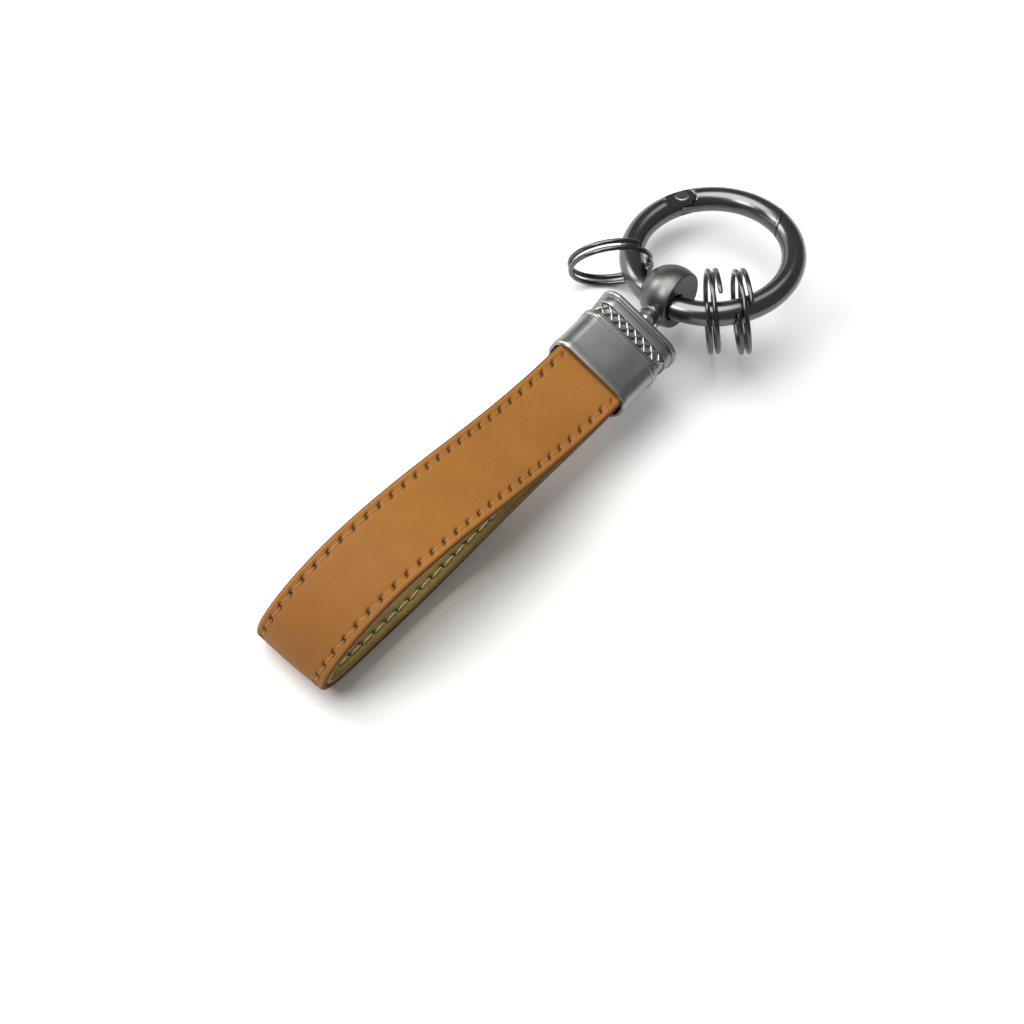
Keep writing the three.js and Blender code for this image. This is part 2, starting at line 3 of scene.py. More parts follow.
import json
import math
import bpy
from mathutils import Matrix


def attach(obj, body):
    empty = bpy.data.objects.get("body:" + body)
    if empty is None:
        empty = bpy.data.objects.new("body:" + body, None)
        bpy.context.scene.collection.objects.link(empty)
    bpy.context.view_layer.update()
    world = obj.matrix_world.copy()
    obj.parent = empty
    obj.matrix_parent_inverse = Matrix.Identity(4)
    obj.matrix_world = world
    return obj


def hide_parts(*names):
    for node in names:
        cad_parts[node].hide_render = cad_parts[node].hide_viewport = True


bl_info = {
    "name": "Leather keychain",
    "version": (1, 0, 0),
    "blender": (4, 5, 0),
    "location": "3D View > Sidebar > Keychain",
    "description": "Dresses the packed leather keychain with leather, stitches and plated metal",
    "category": "Object",
}

import bmesh
import bpy
from bpy.props import FloatProperty, FloatVectorProperty, IntProperty, PointerProperty
from mathutils import Matrix, Vector, noise

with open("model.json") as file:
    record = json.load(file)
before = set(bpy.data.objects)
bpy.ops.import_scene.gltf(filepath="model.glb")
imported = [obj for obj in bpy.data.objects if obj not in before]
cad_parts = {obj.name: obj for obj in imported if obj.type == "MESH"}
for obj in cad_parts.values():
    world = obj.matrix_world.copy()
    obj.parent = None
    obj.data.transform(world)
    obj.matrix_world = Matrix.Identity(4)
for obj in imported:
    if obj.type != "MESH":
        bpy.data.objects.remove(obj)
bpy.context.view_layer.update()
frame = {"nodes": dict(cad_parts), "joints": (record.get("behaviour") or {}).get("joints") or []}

MM = 0.001

# Where the part's own drawing sits in the frame, worked out from the place of the swivel joint
SWIVEL_DRAWN = Vector((29.2, 0.0, 12.3))
SWIVEL_PLACED = Vector(next(j for j in frame["joints"] if j["name"] == "swivel_turn")["pos_m"]) / MM
SHIFT = SWIVEL_PLACED - SWIVEL_DRAWN

# Strap, in millimetres on the part's own drawing
AXIS_HEIGHT = 12.3
CLAMP_ROLL = math.radians(7.0)
ROLL_START_X = -70.0
SWAY_SLOPE = math.tan(math.radians(2.0))
SWAY_EASE = 12.0
STRAP_HALF = 8.0
LEATHER_THICK = 1.5
LINING_NEAR = 1.56
LINING_FAR = 2.61
LINING_HALF = 7.85
ROW_OFFSET = 6.25
MOUTH_X = 2.6
# Painted shade: the leather's face is darkened towards the fold
FOLD_SHADE = 0.34
FOLD_SHADE_X = -48.0
FOLD_SHADE_RUN = 28.0
# The strap's outer face from inside the clamp, round the fold and back, as x and height
STRAP_POINTS = [
    (11.8, 15.1),
    (6.0, 15.1),
    (0.8, 15.1),
    (-8.0, 15.6),
    (-15.9, 16.8),
    (-23.7, 18.7),
    (-31.4, 20.9),
    (-39.2, 22.7),
    (-47.1, 23.8),
    (-55.1, 24.0),
    (-63.0, 23.0),
    (-70.4, 20.0),
    (-75.5, 15.4),
    (-78.1, 9.6),
    (-77.5, 4.4),
    (-74.8, 1.4),
    (-70.3, 0.35),
    (-62.0, 0.3),
    (-52.0, 0.4),
    (-44.0, 0.9),
    (-36.0, 2.0),
    (-28.0, 3.7),
    (-20.0, 5.9),
    (-12.0, 8.0),
    (-5.0, 9.2),
    (0.8, 9.5),
    (6.0, 9.5),
    (11.8, 9.5),
]
SPLINE_STEPS = 160
TANGENT_STEPS = 6
CLAMP_EASE = 2.0

# Relief of the two sheets: a soft crown and a slow wave on the leather, and a valley along each row
CROWN_RISE = 0.1
CROWN_HALF = 5.6
WAVE_RISE = 0.07
WAVE_RUN = 16
WAVE_ACROSS = 9
WAVE_LAYER = 3.1
VALLEY_HALF = 0.6
LEATHER_VALLEY = 0.05
LINING_VALLEY = 0.08
LINING_ROUND = 0.35
# How finely the sheets are drawn: steps round an edge, places on the hidden back as shares of its half,
# stations along the strap for each stitch, and steps across the face, closer at the rows
LEATHER_EDGE_STEPS = 9
LINING_EDGE_STEPS = 5
LEATHER_BACK = (0.9, 0.5, 0.0, -0.5, -0.9)
LINING_BACK = (0.9, 0.0, -0.9)
LEATHER_STATIONS = 12
LINING_STATIONS = 10
FACE_STEP = 0.6
ROW_MARGIN = 1.0
ROW_STEP = 0.145
ROW_STEPS = 7
# Degrees round the edge over which its darkening comes in: burnish, and painted shade where the edge turns in
# towards the lining
BURNISH_AND_SHADE_START = 16
BURNISH_AND_SHADE_RUN = 30

# Stitch holes are slanted slits along the two rows
ROWS = [("left", 1), ("right", -1)]
FIRST_HOLE = 0.9
LAST_HOLE = 0.6
HOLE_TURN = math.radians(38.0)
HOLE_LONG = 0.64
HOLE_SHORT = 0.3
HOLE_REACH = 1.6
HOLE_SLACK = 0.5
LEATHER_HOLE = 0.45
LINING_HOLE = 0.35
# How strongly painted shade darkens the stitch holes, on the leather and on the lining
LEATHER_HOLE_SHADE = 1.7
LINING_HOLE_SHADE = 1.25

# Stitches: both ends go down into their holes, and the middle rises from there
STITCH_RINGS = 15
STITCH_SIDES = 10
STITCH_SINK = 0.46
# The outer thread is pulled almost flush into the leather, the inner one stands on the lining
OUTER_RISE = 0.33
INNER_RISE = 0.4
ARCH_POWER = 0.45
STITCH_INSET = 0.18
STITCH_SLANT = 0.1
THREAD_END = 0.72
PLY_TURNS = 1.25
PLY_DEPTH = 0.2
# How far a stitch's middle line keeps off the floor, in thread radii
FLOOR_ROOM = 1.25

# Clamp
CLAMP_LENGTH = 16.8
CLAMP_HALF_WIDE = 9.1
CLAMP_HALF_HIGH = 4.2
CLAMP_CORNER = 3.0
CLAMP_NARROWING = 0.1
# How far the broad faces fall away towards the narrow sides
CLAMP_CROWN = 0.35
# Distance from the mouth, and how far the skin stands out there from the plain body
CLAMP_SKIN = [
    (0.0, -0.42),
    (0.06, -0.2),
    (0.18, -0.04),
    (0.35, 0.04),
    (0.7, 0.1),
    (1.1, 0.09),
    (1.6, 0.05),
    (2.0, 0.02),
    (2.4, 0.0),
    (5.0, 0.0),
    (7.5, 0.0),
    (8.8, 0.0),
    (9.02, 0.02),
    (9.1, 0.14),
    (9.22, 0.24),
    (9.4, 0.24),
    (9.52, 0.12),
    (9.6, 0.06),
    (9.68, 0.12),
    (9.8, 0.24),
    (9.98, 0.24),
    (10.1, 0.14),
    (10.18, 0.02),
    (10.4, 0.0),
    (10.83, 0.0),
    (10.93, -0.04),
    (10.99, -0.2),
    (11.05, -0.42),
    (11.15, -0.45),
    (13.15, -0.45),
    (13.25, -0.42),
    (13.31, -0.2),
    (13.37, -0.04),
    (13.47, 0.0),
    (15.0, 0.0),
    (15.1, -0.03),
    (15.18, -0.16),
    (15.28, -0.22),
    (15.46, -0.22),
    (15.54, -0.14),
    (15.6, 0.06),
    (15.7, 0.2),
    (15.9, 0.27),
    (16.1, 0.28),
    (16.35, 0.22),
    (16.55, 0.1),
    (16.7, -0.08),
    (16.8, -0.35),
]
POCKET_END_X = 12.3
POCKET_HALF_WIDE = 8.3
POCKET_HALF_HIGH = 3.05
WASHER_ROOM = 2.6
WASHER_END_X = 16.4
BUSH_HOLE = 2.4
CLAMP_END_X = MOUTH_X + CLAMP_LENGTH
# Hollow of the clamp from its end to its mouth: half width, half height, corner and place along the axis
CLAMP_HOLLOW = [
    (BUSH_HOLE, BUSH_HOLE, BUSH_HOLE, CLAMP_END_X),
    (BUSH_HOLE, BUSH_HOLE, BUSH_HOLE, WASHER_END_X),
    (WASHER_ROOM, WASHER_ROOM, WASHER_ROOM, WASHER_END_X),
    (WASHER_ROOM, WASHER_ROOM, WASHER_ROOM, POCKET_END_X),
    (POCKET_HALF_WIDE, POCKET_HALF_HIGH, 0.4, POCKET_END_X),
    (POCKET_HALF_WIDE, POCKET_HALF_HIGH, 0.4, MOUTH_X + 0.3),
    (POCKET_HALF_WIDE + 0.12, POCKET_HALF_HIGH + 0.25, 0.6, MOUTH_X + 0.04),
]
CORNER_STEPS = 12
# Crosses: two leaning half-round bars each, a little sunk into the floor of the band
CROSS_COUNT = 8
CROSS_PITCH = 2.1
BAND_START = 11.05
BAND_END = 13.25
BAND_DEPTH = 0.45
BAR_HALF = 0.3
BAR_RISE = 0.5
BAR_FALL = 0.1
BAR_SINK = 0.06
BAR_LEAN = 0.7
BAR_RINGS = 9
BAR_SIDES = 8
CROSS_END_GAP = 0.1
CROSS_SIDE_GAP = 0.05

# Swivel and ring
BUSH_BORE = 1.55
BUSH_SPIGOT = 2.3
BUSH_FLANGE = 2.8
FLANGE_THICK = 2.3
FLANGE_END_X = CLAMP_END_X + FLANGE_THICK
# Turned section of the bush, as place along the axis and radius
BUSH_PROFILE = [
    (WASHER_END_X, BUSH_BORE),
    (WASHER_END_X, BUSH_SPIGOT),
    (CLAMP_END_X + 0.08, BUSH_SPIGOT),
    (CLAMP_END_X + 0.08, BUSH_FLANGE - 0.2),
    (CLAMP_END_X + 0.16, BUSH_FLANGE - 0.05),
    (CLAMP_END_X + 0.35, BUSH_FLANGE),
    (FLANGE_END_X - 0.6, BUSH_FLANGE),
    (FLANGE_END_X - 0.38, BUSH_FLANGE - 0.08),
    (FLANGE_END_X - 0.2, BUSH_FLANGE - 0.26),
    (FLANGE_END_X - 0.07, BUSH_FLANGE - 0.5),
    (FLANGE_END_X, BUSH_FLANGE - 0.8),
    (FLANGE_END_X, BUSH_BORE + 0.1),
    (FLANGE_END_X - 0.1, BUSH_BORE),
]
BUSH_SIDES = 64
WELD_DISTANCE = 0.002
LEVEL_ANGLE = math.radians(0.6)
BALL_CENTER = (29.6, 0.0, 12.3)
FLAT_DEPTH = 2.3
FLAT_SLACK = 0.05
FLAT_FACING = 0.99
RIM_REACH = 5.7
RIM_BREAK = 0.16
COLLAR_END_X = 23.4
# Material slots of the ball: the plate all over, its milled flat face with a painted dark reflection, and the
# stem's collar
BALL_PLATE = 0
FLAT_DARK_REFLECTION = 1
COLLAR_PLATE = 2
RING_X = 43.1
RING_TILT = math.radians(20.1)
RING_RADIUS = 15.7
SPLIT_RADIUS = 7.8
SPLIT_PITCH = 1.45
SPLIT_TURNS = 1.96
STEPS_PER_TURN = 96
# The split rings' wire is a little squarer than round, and each end is broken in two steps
SPLIT_WIRE_HALF = 0.47
SPLIT_WIRE_POWER = 0.85
SPLIT_TAPER = (0.72, 0.93)
# Each split ring: node, body, angle on the main ring, yaw and pitch of its axis,
# its centre out and up from the wire, and the angle at which its wire starts
SPLIT_RINGS = [
    ("split_ring_a", "split_a", 46.0, 46.0, 22.0, 4.2, 1.25, 2.6),
    ("split_ring_b", "split_b", 323.0, 318.0, -0.8, -3.5, -2.8, 1.25),
    ("split_ring_c", "split_c", 301.8, 315.5, -1.5, -2.85, -3.4, 1.0),
]

# Camera, fitted to the two stitched rows, the strap's edges and the ring's outline
CAMERA_RIGHT = Vector((0.6177, -0.7516, 0.2314))
CAMERA_UP = Vector((0.6142, 0.6449, 0.4548))
CAMERA_BACK = Vector((-0.4911, -0.1389, 0.8600))
CAMERA_TARGET = Vector((-22.381, -5.9455, 0.298)) + SHIFT
CAMERA_DISTANCE = 595.7
CAMERA_FOCAL_PX = 3201.8
PICTURE_PX = 1024
SENSOR_MM = 36.0
CLIP_START = 0.01

# Stage, in metres
FLOOR_HALF = 1.5
WORLD_STRENGTH = 0.24
# Soft lights: name, place, what it faces, size across, share of the key light's power, colour
SOFTBOXES = [
    ("key_softbox", (-0.08, 0.44, 0.78), (0, 0, 0.01), 0.85, 1.0, (1.0, 0.99, 0.97)),
    ("glint_softbox", (-0.56, 0.38, 0.59), (0, 0, 0.01), 0.34, 0.34, (1.0, 1.0, 1.0)),
    ("side_softbox", (-0.1, 0.62, 0.2), (0.02, 0, 0.01), 0.35, 0.25, (1.0, 1.0, 1.0)),
    ("top_softbox", (0.4, 0.22, 0.68), (0.02, 0, 0.01), 0.4, 0.08, (1.0, 1.0, 1.0)),
]

# Metals: lowest roughness, highest roughness and strength of the blasted grit
FINISHES = {
    # Blasted gunmetal plate: a soft, even grey shine
    "satin_gunmetal_plate": (0.3, 0.38, 0.2),
    # The same plate rubbed on its high places: brighter edges on the crosses
    "bright_rubbed_plate": (0.24, 0.34, 0.1),
    # Polished nickel: clear reflections
    "polished_nickel": (0.1, 0.18, 0.0),
    # Tumbled black nickel: dark with a broad highlight
    "satin_black_nickel": (0.32, 0.4, 0.15),
    # Black nickel on a milled face, painted nearly black as a dark reflection
    "painted_dark_reflection_nickel": (0.26, 0.34, 0.15),
    # Turned nickel: small bright rings of light
    "turned_bright_nickel": (0.14, 0.22, 0.0),
    # Turned steel: plain grey, hidden in the clamp
    "turned_steel": (0.25, 0.35, 0.0),
    # Polished black nickel: long dark reflections with clear highlights
    "polished_black_nickel": (0.2, 0.26, 0.0),
    # Drawn spring steel: a dull grey shine
    "drawn_spring_steel": (0.3, 0.4, 0.0),
    # Black nickel on a riveted head: a lighter, clear shine
    "black_nickel_rivet": (0.18, 0.26, 0.0),
    # Plated spring wire: thin bright lines on dark wire
    "black_nickel_wire": (0.16, 0.24, 0.0),
}
# How dark the shade in each pattern is, as a share of its colour
LINING_SHADE = 0.62
THREAD_SHADE = 0.4
METAL_SHADE = 0.86


def linear(code):
    """Turns an sRGB hex colour into linear red, green and blue."""
    parts = [int(code[i:i + 2], 16) / 255 for i in (1, 3, 5)]
    return tuple(c / 12.92 if c <= 0.04045 else ((c + 0.055) / 1.055) ** 2.4 for c in parts)


def per_mm(size):
    """Texture scale for a pattern whose feature is this many millimetres across, on coordinates in metres."""
    return 1.0 / (size * MM)


class StrapSettings(bpy.types.PropertyGroup):
    """Sizes and colours of the strap and its thread"""

    stitch_pitch: FloatProperty(
        name="Stitch pitch",
        description="Distance from one stitch hole to the next",
        default=3.24 * MM,
        min=2.0 * MM,
        max=6.0 * MM,
        unit="LENGTH",
    )
    thread_radius: FloatProperty(
        name="Thread radius",
        description="Half the thickness of the sewing thread",
        default=0.17 * MM,
        min=0.15 * MM,
        max=0.4 * MM,
        unit="LENGTH",
    )
    edge_round: FloatProperty(
        name="Edge rounding",
        description="Radius of the strap's burnished edge",
        default=0.7 * MM,
        min=0.2 * MM,
        max=0.74 * MM,
        unit="LENGTH",
    )
    leather_color: FloatVectorProperty(
        name="Leather",
        description="Tan of the outer leather",
        subtype="COLOR",
        size=3,
        default=linear("#9A6629"),
    )
    leather_dark: FloatVectorProperty(
        name="Leather shade",
        description="Darker tan of the mottling",
        subtype="COLOR",
        size=3,
        default=linear("#8D5B20"),
    )
    lining_color: FloatVectorProperty(
        name="Lining",
        description="Khaki of the lining",
        subtype="COLOR",
        size=3,
        default=linear("#9A854E"),
    )
    thread_color: FloatVectorProperty(
        name="Outer thread",
        description="Thread on the leather",
        subtype="COLOR",
        size=3,
        default=linear("#A47135"),
    )
    inner_thread_color: FloatVectorProperty(
        name="Inner thread",
        description="Thread on the lining",
        subtype="COLOR",
        size=3,
        default=linear("#CDBD8C"),
    )


class MetalSettings(bpy.types.PropertyGroup):
    """Colours of the plated metal, and how finely the split rings' wire is drawn"""

    clamp_color: FloatVectorProperty(
        name="Clamp",
        description="Satin gunmetal plate on the clamp",
        subtype="COLOR",
        size=3,
        default=linear("#959694"),
    )
    ring_color: FloatVectorProperty(
        name="Ring",
        description="Black nickel plate on the ring and gate",
        subtype="COLOR",
        size=3,
        default=linear("#666765"),
    )
    bush_color: FloatVectorProperty(
        name="Bush",
        description="Bright nickel on the swivel's bush and the stem's collar",
        subtype="COLOR",
        size=3,
        default=linear("#D2D1CC"),
    )
    wire_sides: IntProperty(
        name="Wire sides",
        description="Facets round a split ring's wire",
        default=16,
        min=8,
        max=32,
    )


class StageSettings(bpy.types.PropertyGroup):
    """Floor and light"""

    floor_color: FloatVectorProperty(
        name="Floor",
        description="Pale floor under the keychain",
        subtype="COLOR",
        size=3,
        default=linear("#F4F4F3"),
    )
    key_power: FloatProperty(
        name="Key light",
        description="Power of the large soft light",
        default=9.0,
        min=0.0,
        max=50.0,
        unit="POWER",
    )


# Shared geometry

def held(share):
    """A share held between 0 and 1."""
    return min(max(share, 0.0), 1.0)


def eased(share):
    """A share held between 0 and 1, with a soft start and end."""
    share = held(share)
    return share * share * (3 - 2 * share)


def placed(x, y, z):
    """A point of the part's own drawing, in the frame, in metres."""
    return (Vector((x, y, z)) + SHIFT) * MM


def ring_placed(point):
    """A point drawn in the ring's own plane, in the frame, in metres."""
    drawn = Matrix.Rotation(-RING_TILT, 3, "X") @ (Vector(point) + Vector((RING_X, 0.0, 0.0)))
    return placed(drawn.x, drawn.y, drawn.z + AXIS_HEIGHT)


def new_piece(name, verts, faces, body):
    """Makes a mesh piece and lets it ride on a body."""
    mesh = bpy.data.meshes.new(name)
    mesh.from_pydata([tuple(v) for v in verts], [], faces)
    mesh.validate()
    piece = bpy.data.objects.new(name, mesh)
    bpy.context.scene.collection.objects.link(piece)
    mesh.shade_smooth()
    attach(piece, body)
    return piece


def ring_faces(rings, around, closed_run=False):
    """Quads between rings of points; an open run gets two flat caps, a closed one joins its ends."""
    faces = []
    last = rings if closed_run else rings - 1
    for r in range(last):
        one = r * around
        two = ((r + 1) % rings) * around
        for k in range(around):
            nxt = (k + 1) % around
            faces.append((one + k, one + nxt, two + nxt, two + k))
    if not closed_run:
        faces.append(tuple(range(around - 1, -1, -1)))
        faces.append(tuple((rings - 1) * around + k for k in range(around)))
    return faces


def outward(piece):
    """Turns every face of a closed mesh to look outward."""
    work = bmesh.new()
    work.from_mesh(piece.data)
    bmesh.ops.recalc_face_normals(work, faces=work.faces)
    work.to_mesh(piece.data)
    work.free()


def crisp(piece, degrees):
    """Smooth shading that breaks at edges sharper than an angle."""
    piece.data.shade_smooth()
    piece.data.set_sharp_from_angle(angle=math.radians(degrees))


def point_values(piece, name, values):
    """Stores one number per point for the material to read."""
    layer = piece.data.attributes.new(name, "FLOAT", "POINT")
    layer.data.foreach_set("value", values)


def tube(path, radius, sides, up):
    """Rings of points round a path; radius is a function of the share along the path and of the angle."""
    verts = []
    count = len(path)
    side = None
    for i, point in enumerate(path):
        ahead = path[min(i + 1, count - 1)] - path[max(i - 1, 0)]
        ahead.normalize()
        if side is None:
            side = ahead.cross(up).normalized()
        else:
            side = (side - ahead * side.dot(ahead)).normalized()
        over = side.cross(ahead)
        for k in range(sides):
            turn = 2 * math.pi * k / sides
            reach = radius(i / (count - 1), turn)
            verts.append(point + (side * math.cos(turn) + over * math.sin(turn)) * reach)
    return verts


def turned(profile, sides):
    """Points of a turned piece about the swivel axis, from pairs of place and radius."""
    verts = []
    for x, radius in profile:
        for k in range(sides):
            turn = 2 * math.pi * k / sides
            verts.append(placed(x, radius * math.cos(turn), radius * math.sin(turn) + AXIS_HEIGHT))
    return verts


# Strap curve

def strap_spline():
    """Points of the strap's outer face every twentieth of a millimetre or so, with the run so far."""
    points = [Vector((x, 0.0, z)) for x, z in STRAP_POINTS]
    points.insert(0, points[0] * 2 - points[1])
    points.append(points[-1] * 2 - points[-2])
    samples = []
    for i in range(1, len(points) - 2):
        p0, p1, p2, p3 = points[i - 1:i + 3]
        d0 = math.sqrt((p1 - p0).length)
        d1 = math.sqrt((p2 - p1).length)
        d2 = math.sqrt((p3 - p2).length)
        t1 = ((p1 - p0) / d0 - (p2 - p0) / (d0 + d1) + (p2 - p1) / d1) * d1
        t2 = ((p2 - p1) / d1 - (p3 - p1) / (d1 + d2) + (p3 - p2) / d2) * d1
        for k in range(SPLINE_STEPS):
            t = k / SPLINE_STEPS
            c2 = -3 * p1 + 3 * p2 - 2 * t1 - t2
            c3 = 2 * p1 - 2 * p2 + t1 + t2
            samples.append(p1 + t1 * t + c2 * t * t + c3 * t * t * t)
    samples.append(points[-2])
    run = [0.0]
    for one, two in zip(samples, samples[1:]):
        run.append(run[-1] + (two - one).length)
    return samples, run


STRAP_LINE, STRAP_RUN = strap_spline()
STRAP_LENGTH = STRAP_RUN[-1]
MOUTH_RUN = STRAP_POINTS[0][0] - MOUTH_X
LAST_RUN = STRAP_LENGTH - MOUTH_RUN


def strap_station(run):
    """Place and inward direction on the strap's outer face, a run in millimetres from its first end."""
    low = 0
    high = len(STRAP_RUN) - 1
    while high - low > 1:
        middle = (low + high) // 2
        if STRAP_RUN[middle] <= run:
            low = middle
        else:
            high = middle
    share = (run - STRAP_RUN[low]) / (STRAP_RUN[high] - STRAP_RUN[low])
    point = STRAP_LINE[low].lerp(STRAP_LINE[high], share)
    before = STRAP_LINE[max(low - TANGENT_STEPS, 0)]
    after = STRAP_LINE[min(high + TANGENT_STEPS, len(STRAP_LINE) - 1)]
    ahead = (after - before).normalized()
    return point, Vector((-ahead.z, 0.0, ahead.x))


def strap_placed(station, across, depth):
    """A point of the strap in the frame, in metres: across its width, and a depth under its outer face."""
    point, inward = station
    drawn = point + inward * depth
    back = max(-drawn.x, 0.0)
    sway = SWAY_SLOPE * (back * back / (2 * SWAY_EASE) if back < SWAY_EASE else back - SWAY_EASE / 2)
    roll = CLAMP_ROLL * eased(1 - drawn.x / ROLL_START_X)
    height = drawn.z - AXIS_HEIGHT
    y = across * math.cos(roll) - height * math.sin(roll) + sway
    z = across * math.sin(roll) + height * math.cos(roll) + AXIS_HEIGHT
    return placed(drawn.x, y, z)


def over_floor(station, across):
    """Height of the strap's outer face over the floor, in millimetres."""
    return strap_placed(station, across, 0.0).z / MM


def stitch_holes(pitch):
    """Runs at which the thread goes through the strap, from the clamp's mouth round to it again."""
    first = MOUTH_RUN + FIRST_HOLE
    count = int((LAST_RUN - LAST_HOLE - first) / pitch)
    return [first + k * pitch for k in range(count + 1)]


def hole_share(run, across, pitch):
    """How deep in a stitch hole a place on the strap is: 1 in the middle of a hole, 0 away from one."""
    best = 0.0
    for _, side in ROWS:
        away = across - side * ROW_OFFSET
        if abs(away) > HOLE_REACH:
            continue
        first = MOUTH_RUN + FIRST_HOLE
        k = round((run - first) / pitch)
        hole = first + k * pitch
        if hole < MOUTH_RUN - HOLE_SLACK or hole > LAST_RUN + HOLE_SLACK:
            continue
        along = run - hole
        long_way = away * math.sin(HOLE_TURN) - along * math.cos(HOLE_TURN)
        short_way = away * math.cos(HOLE_TURN) + along * math.sin(HOLE_TURN)
        best = max(best, math.exp(-(long_way / HOLE_LONG) ** 2 - (short_way / HOLE_SHORT) ** 2))
    return best


def in_open(run):
    """1 where the strap is free, 0 inside the clamp, with a short change between."""
    return held(min(run - MOUTH_RUN, LAST_RUN - run) / CLAMP_EASE)


def across_samples(half, rounding):
    """Places across the strap's face, closer together at the stitched rows."""
    places = set()
    limit = half - rounding
    k = 0
    while k * FACE_STEP < ROW_OFFSET - ROW_MARGIN:
        places.add(round(k * FACE_STEP, 3))
        k += 1
    for i in range(-ROW_STEPS, ROW_STEPS + 1):
        value = ROW_OFFSET + i * ROW_STEP
        if value < limit:
            places.add(round(value, 3))
    places.add(round(limit, 3))
    half_places = sorted(places)
    return [-v for v in reversed(half_places) if v > 0] + half_places


# Materials

def add_node(tree, kind, settings=None, inputs=None, links=None):
    """Adds a node, sets its fields and sockets, and links sockets of it to outputs of others."""
    node = tree.nodes.new(kind)
    for field, value in (settings or {}).items():
        setattr(node, field, value)
    for socket, value in (inputs or {}).items():
        node.inputs[socket].default_value = value
    for socket, output in (links or {}).items():
        tree.links.new(output, node.inputs[socket])
    return node


def new_material(name):
    """An empty material with its shader, ready for its pattern nodes."""
    material = bpy.data.materials.new(name)
    material.use_nodes = True
    tree = material.node_tree
    return material, tree, tree.nodes["Principled BSDF"]


def solid_color(color):
    """A colour with full cover, as the shader's sockets take it."""
    return (color[0], color[1], color[2], 1.0)


def nubuck_leather(settings):
    """Buffed tan cowhide: a soft matt face with cloudy tone, fine pores and darker edges, partly burnished
    and partly painted shade; painted shade also fills the stitch holes and darkens the face towards the fold.
    """
    material, tree, shader = new_material("tan_nubuck_leather")
    place = add_node(tree, "ShaderNodeTexCoord")
    clouds = add_node(
        tree,
        "ShaderNodeTexNoise",
        inputs={"Scale": per_mm(14.0), "Detail": 4.0, "Roughness": 0.6},
        links={"Vector": place.outputs["Object"]},
    )
    tone = add_node(tree, "ShaderNodeValToRGB", links={"Fac": clouds.outputs["Fac"]})
    tone.color_ramp.elements[0].position = 0.3
    tone.color_ramp.elements[0].color = solid_color(settings.leather_dark)
    tone.color_ramp.elements[1].position = 0.72
    tone.color_ramp.elements[1].color = solid_color(settings.leather_color)
    # Nap is finer than a pixel of the picture, so it is drawn at 0.45 mm to show.
    nap = add_node(
        tree,
        "ShaderNodeTexNoise",
        inputs={"Scale": per_mm(0.45), "Detail": 3.0, "Roughness": 0.65},
        links={"Vector": place.outputs["Object"]},
    )
    nap_tone = add_node(
        tree,
        "ShaderNodeMapRange",
        inputs={"From Min": 0.3, "From Max": 0.7, "To Min": 0.93, "To Max": 1.06},
        links={"Value": nap.outputs["Fac"]},
    )
    napped = add_node(
        tree,
        "ShaderNodeMix",
        settings={"data_type": "RGBA", "blend_type": "MULTIPLY"},
        inputs={"Factor": 1.0},
        links={"A": tone.outputs["Color"], "B": nap_tone.outputs["Result"]},
    )
    # Edge tone: burnish with painted shade on the lining's side of each edge, and painted shade on the face
    # towards the fold
    edge = add_node(tree, "ShaderNodeAttribute", settings={"attribute_name": "edge"})
    burnished_and_shaded = add_node(
        tree,
        "ShaderNodeMix",
        settings={"data_type": "RGBA"},
        inputs={"B": solid_color(linear("#5A3010"))},
        links={"Factor": edge.outputs["Fac"], "A": napped.outputs["Result"]},
    )
    # Painted shade in the stitch holes
    hole = add_node(tree, "ShaderNodeAttribute", settings={"attribute_name": "hole"})
    hole_shaded = add_node(
        tree,
        "ShaderNodeMix",
        settings={"data_type": "RGBA"},
        inputs={"B": solid_color(linear("#2A1405"))},
        links={"Factor": hole.outputs["Fac"], "A": burnished_and_shaded.outputs["Result"]},
    )
    tree.links.new(hole_shaded.outputs["Result"], shader.inputs["Base Color"])
    rough = add_node(
        tree,
        "ShaderNodeMapRange",
        inputs={"From Min": 0.3, "From Max": 0.7, "To Min": 0.62, "To Max": 0.8},
        links={"Value": nap.outputs["Fac"]},
    )
    tree.links.new(rough.outputs["Result"], shader.inputs["Roughness"])
    pores = add_node(
        tree,
        "ShaderNodeTexVoronoi",
        inputs={"Scale": per_mm(0.7), "Randomness": 1.0},
        links={"Vector": place.outputs["Object"]},
    )
    relief = add_node(
        tree,
        "ShaderNodeMath",
        settings={"operation": "MULTIPLY_ADD"},
        inputs={1: 0.35},
        links={0: pores.outputs["Distance"], 2: nap.outputs["Fac"]},
    )
    bump = add_node(
        tree,
        "ShaderNodeBump",
        inputs={"Strength": 0.35, "Distance": 0.06 * MM},
        links={"Height": relief.outputs["Value"]},
    )
    tree.links.new(bump.outputs["Normal"], shader.inputs["Normal"])
    shader.inputs["Sheen Weight"].default_value = 0.05
    shader.inputs["Sheen Roughness"].default_value = 0.5
    shader.inputs["Sheen Tint"].default_value = solid_color(linear("#E0B07A"))
    shader.inputs["Specular IOR Level"].default_value = 0.3
    return material


